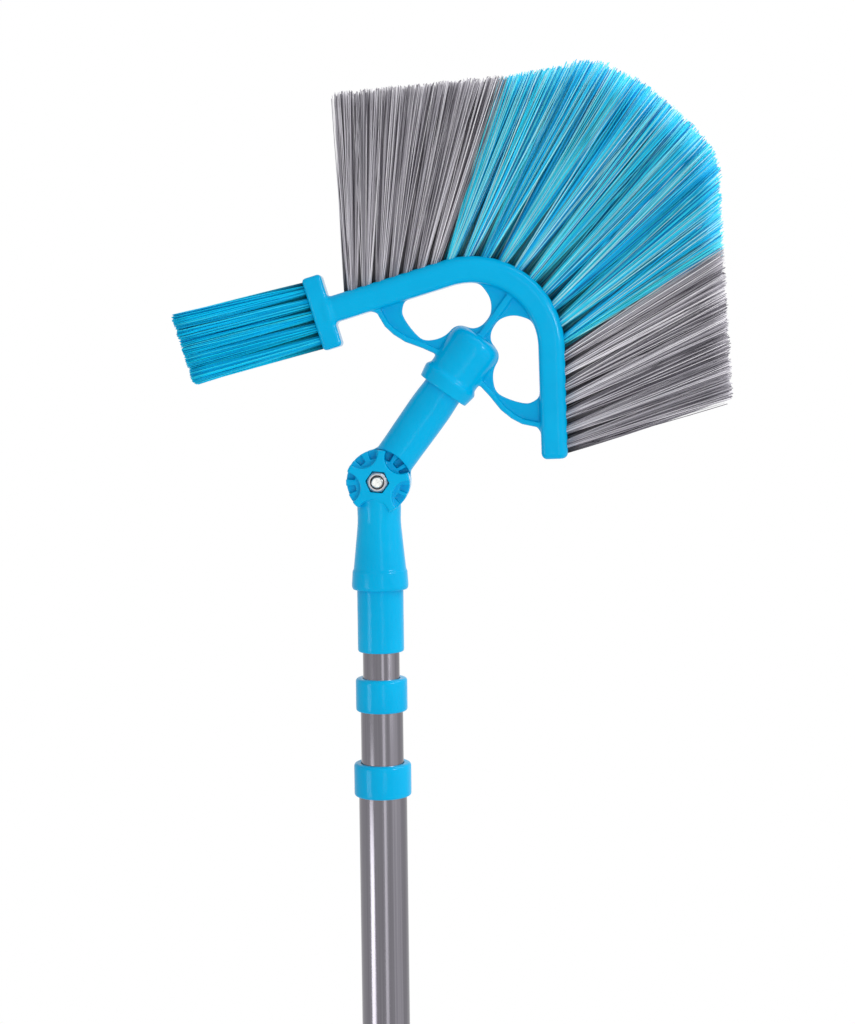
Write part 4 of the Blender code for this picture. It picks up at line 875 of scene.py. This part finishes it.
def strand_finish(name, tones, roughness, specular):
    """Filament, each strand of its own tone, with painted shade that darkens the strands near the bundle's
    middle towards their roots.
    """
    finish, tree, shader = new_finish(name, roughness, specular=specular)
    tone = put(tree, "ShaderNodeAttribute", attribute_name="tone").node.outputs["Fac"]
    height = put(tree, "ShaderNodeAttribute", attribute_name="height").node.outputs["Fac"]
    ramp = tree.nodes.new("ShaderNodeValToRGB")
    tree.links.new(tone, ramp.inputs["Fac"])
    stops = ramp.color_ramp.elements
    for spot, _ in tones[1:-1]:
        stops.new(spot)
    for stop, (_, colour) in zip(stops, tones):
        stop.color = paint(*colour)
    crimp = put(tree, "ShaderNodeMath", {0: height, 1: CRIMPS}, operation="MULTIPLY")
    crimp = put(tree, "ShaderNodeMath", {0: crimp, 1: 40.0, 2: tone}, operation="ADD")
    crimp = put(tree, "ShaderNodeMath", {0: crimp}, operation="SINE")
    place = put(tree, "ShaderNodeTexCoord").node.outputs["Object"]
    across = put(tree, "ShaderNodeSeparateXYZ", {0: place}).node.outputs["Y"]
    depth = put(tree, "ShaderNodeMath", {0: across}, operation="ABSOLUTE")
    # Painted shade: filaments near the middle plane get darker towards their roots, standing in for the shade
    # deep between the tufts.
    painted_shade_mask = put(tree, "ShaderNodeMapRange", {"Value": depth, "From Min": PAINTED_SHADE_FROM * MM,
                                              "From Max": PAINTED_SHADE_TO * MM, "To Min": 1.0, "To Max": 0.0})
    low = put(tree, "ShaderNodeMapRange", {"Value": height, "From Min": 0.0, "From Max": 0.45,
                                           "To Min": 0.12, "To Max": 1.0})
    shade = put(tree, "ShaderNodeMix", {"Factor": painted_shade_mask, "A": 1.0, "B": low}, data_type="FLOAT")
    colour = put(tree, "ShaderNodeVectorMath", {0: ramp.outputs["Color"], "Scale": shade}, operation="SCALE")
    tree.links.new(colour, shader.inputs["Base Color"])
    rough_skin(tree, shader, crimp, 0.15, 0.05)
    return finish


GREY_TONES = ((0.0, (80, 76, 86)), (0.3, (150, 147, 156)), (0.7, (205, 202, 210)), (1.0, (250, 248, 253)))
BLUE_TONES = ((0.0, (2, 108, 180)), (0.2, (14, 196, 255)), (0.6, (58, 236, 255)), (1.0, (195, 248, 255)))
grey_strand = strand_finish("grey_strand", GREY_TONES, 0.42, 0.3)
blue_strand = strand_finish("blue_strand", BLUE_TONES, 0.38, 0.2)

for name, node, finish, slot, holes, seed in (
    ("grey_tufts_left", "grey_bristles_left", grey_strand, "grey_strand", fan_holes(-96.5, -46.3, 7), 11),
    ("blue_tufts", "blue_bristles", blue_strand, "blue_strand", fan_holes(-46.0, 46.0, 10), 23),
    ("grey_tufts_right", "grey_bristles_right", grey_strand, "grey_strand", fan_holes(46.3, 97.7, 7), 37),
):
    brush = brush_of(name, holes, finish, filaments=108, hole_radius=2.4, hole_depth=1.9, tip_depth=4.6,
                     ragged=1.4, filament_radius=0.29, bow=0.7, segments=8, seed=seed)
    fit(brush, "head", slot, node)

# --- Corner brush ----------------------------------------------------------------------------------
# Five tufts wide, on the end bar of the long arm, for corners. A deeper blue filament, set closer and
# almost parallel, and trimmed straight.
CORNER_ROOT = 33.0
CORNER_TIP = 36.2
CORNER_LENGTH = 69.1
CORNER_LEAN = 3.4
CORNER_EDGE = 0.46
CORNER_DEPTH_SPREAD = 1.8
CORNER_TIP_SPREAD = 0.52
CORNER_TONES = ((0.0, (0, 165, 225)), (0.4, (5, 198, 250)), (0.8, (15, 218, 255)), (1.0, (70, 230, 255)))

corner_strand = strand_finish("corner_strand", CORNER_TONES, 0.38, 0.08)
arm_end = Vector((*bar_line(-HALF_ARCH - LONG_ARM, BAR_WIDTH / 2), 0)).xzy
outward = Vector((-math.cos(ARM_ANGLE), 0, -math.sin(ARM_ANGLE)))
sideways = Vector((math.sin(ARM_ANGLE), 0, -math.cos(ARM_ANGLE)))
holes = []
for row in ROWS:
    for hole in range(5 if row else 6):
        middle = (hole + (0.5 if row else 0.0)) / 5 - 0.5
        first, last = max(-0.5, middle - 0.1), min(0.5, middle + 0.1)
        inset = min(max(middle, -CORNER_EDGE), CORNER_EDGE)
        root = arm_end + outward * (END_BAR_WIDTH - ROOT_SUNK) + sideways * (inset * CORNER_ROOT)
        tip = arm_end + outward * (END_BAR_WIDTH + CORNER_LENGTH)
        tip += sideways * ((first + last) / 2 * CORNER_TIP - CORNER_LEAN)
        root.y, tip.y = row, row * CORNER_DEPTH_SPREAD
        spread = sideways * ((last - first) * CORNER_TIP * CORNER_TIP_SPREAD)
        holes.append((root, tip, sideways, spread))
brush = brush_of("corner_tufts", holes, corner_strand, filaments=104, hole_radius=2.5, hole_depth=1.9,
                 tip_depth=2.6, ragged=0.8, filament_radius=0.29, bow=0.35, segments=8, seed=53)
fit(brush, "head", "blue_strand", "corner_bristles")

# --- Floor, light and camera -----------------------------------------------------------------------
# The broom stands on its end on a pale floor, in front of white. The main light is low and a little
# right of the camera. The left panel and the gloss panel only show as lines in steel and plastic.
# Lengths here are in metres.
FLOOR_RADIUS = 1.5
FLOOR_HEIGHT = -0.0935
WORLD_LIGHT = 0.7
ELBOW = Vector((0, 0, 0.8846))
CAMERA_AWAY = 1.0
CAMERA_SIDE = 4.0
CAMERA_UP = 3.5
AIM_RIGHT = 1.425
AIM_DOWN = 0.935
AIM_ROLL = 0.77

bm = bmesh.new()
bmesh.ops.create_circle(bm, cap_ends=True, radius=FLOOR_RADIUS, segments=96)
floor_mesh = bpy.data.meshes.new("floor")
bm.to_mesh(floor_mesh)
bm.free()
floor_mesh.transform(Matrix.Translation((0, 0, FLOOR_HEIGHT)))
pale, tree, shader = new_finish("pale_floor", 0.8, specular=0.2)
tree.links.new(blend_paint(tree, grain(tree, 40.0), paint(240, 240, 240), paint(243, 243, 243)),
               shader.inputs["Base Color"])
floor_mesh.materials.append(pale)
floor = bpy.data.objects.new("floor", floor_mesh)
bpy.context.scene.collection.objects.link(floor)

world = bpy.data.worlds.new("studio")
bpy.context.scene.world = world
world.use_nodes = True
tree = world.node_tree
path = put(tree, "ShaderNodeLightPath").node.outputs
seen = put(tree, "ShaderNodeMath", {0: path["Is Camera Ray"], 1: path["Is Glossy Ray"]}, operation="MAXIMUM")
seen = put(tree, "ShaderNodeMath", {0: seen, 1: path["Is Transmission Ray"]}, operation="MAXIMUM")
level = put(tree, "ShaderNodeMapRange", {"Value": seen, "To Min": WORLD_LIGHT, "To Max": 1.0})
tree.nodes["Background"].inputs["Color"].default_value = (1, 1, 1, 1)
tree.links.new(level, tree.nodes["Background"].inputs["Strength"])


def soft_light(name, place, aim, width, tall, radiance, shines=True, mirrored=True):
    """A panel at a place, facing another.

    It lights plain surfaces only if it shines, and shows in gloss only if it is mirrored."""
    light = bpy.data.lights.new(name, "AREA")
    light.shape = "RECTANGLE"
    light.size, light.size_y = width, tall
    light.energy = radiance * math.pi * width * tall
    lamp = bpy.data.objects.new(name, light)
    bpy.context.scene.collection.objects.link(lamp)
    lamp.location = place
    lamp.rotation_euler = (Vector(aim) - Vector(place)).to_track_quat("-Z", "Y").to_euler()
    lamp.visible_camera = False
    lamp.visible_diffuse = shines
    lamp.visible_glossy = mirrored


soft_light("left_panel", (-1.92, -1.44, 0.36), (0, 0, 0.6), 0.78, 0.86, 5.8, shines=False)
soft_light("camera_panel", (0.6, -2.73, 1.0), (0, 0, 1.0), 0.6, 2.0, 1.8)
soft_light("key_panel", (0.7, -2.45, 0.3), (0, 0, 0.9), 1.1, 0.7, 5.7, mirrored=False)
soft_light("right_panel", (2.1, -0.7, 0.9), (0, 0, 0.9), 2.0, 2.4, 0.4)
soft_light("top_panel", (0.9, 0.1, 1.9), (0.05, 0, 1.0), 1.0, 1.0, 4.0)
soft_light("gloss_panel", (1.6, -1.0, 1.45), (0.08, 0, 1.0), 0.6, 0.5, 24.0, shines=False)

camera = bpy.data.objects.new("camera", bpy.data.cameras.new("camera"))
bpy.context.scene.collection.objects.link(camera)
bpy.context.scene.camera = camera
camera.data.lens = 68.27
camera.data.sensor_width = 36.0
azimuth, elevation = math.radians(CAMERA_SIDE), math.radians(CAMERA_UP)
away = Vector((math.sin(azimuth) * math.cos(elevation), -math.cos(azimuth) * math.cos(elevation),
               math.sin(elevation)))
camera.location = ELBOW + CAMERA_AWAY * away
aim = (-away).to_track_quat("-Z", "Y").to_matrix().to_4x4()
for turn, axis in ((AIM_RIGHT, "Y"), (AIM_DOWN, "X"), (AIM_ROLL, "Z")):
    aim = aim @ Matrix.Rotation(math.radians(-turn), 4, axis)
camera.rotation_euler = aim.to_euler()
bpy.context.scene.view_settings.view_transform = "Standard"
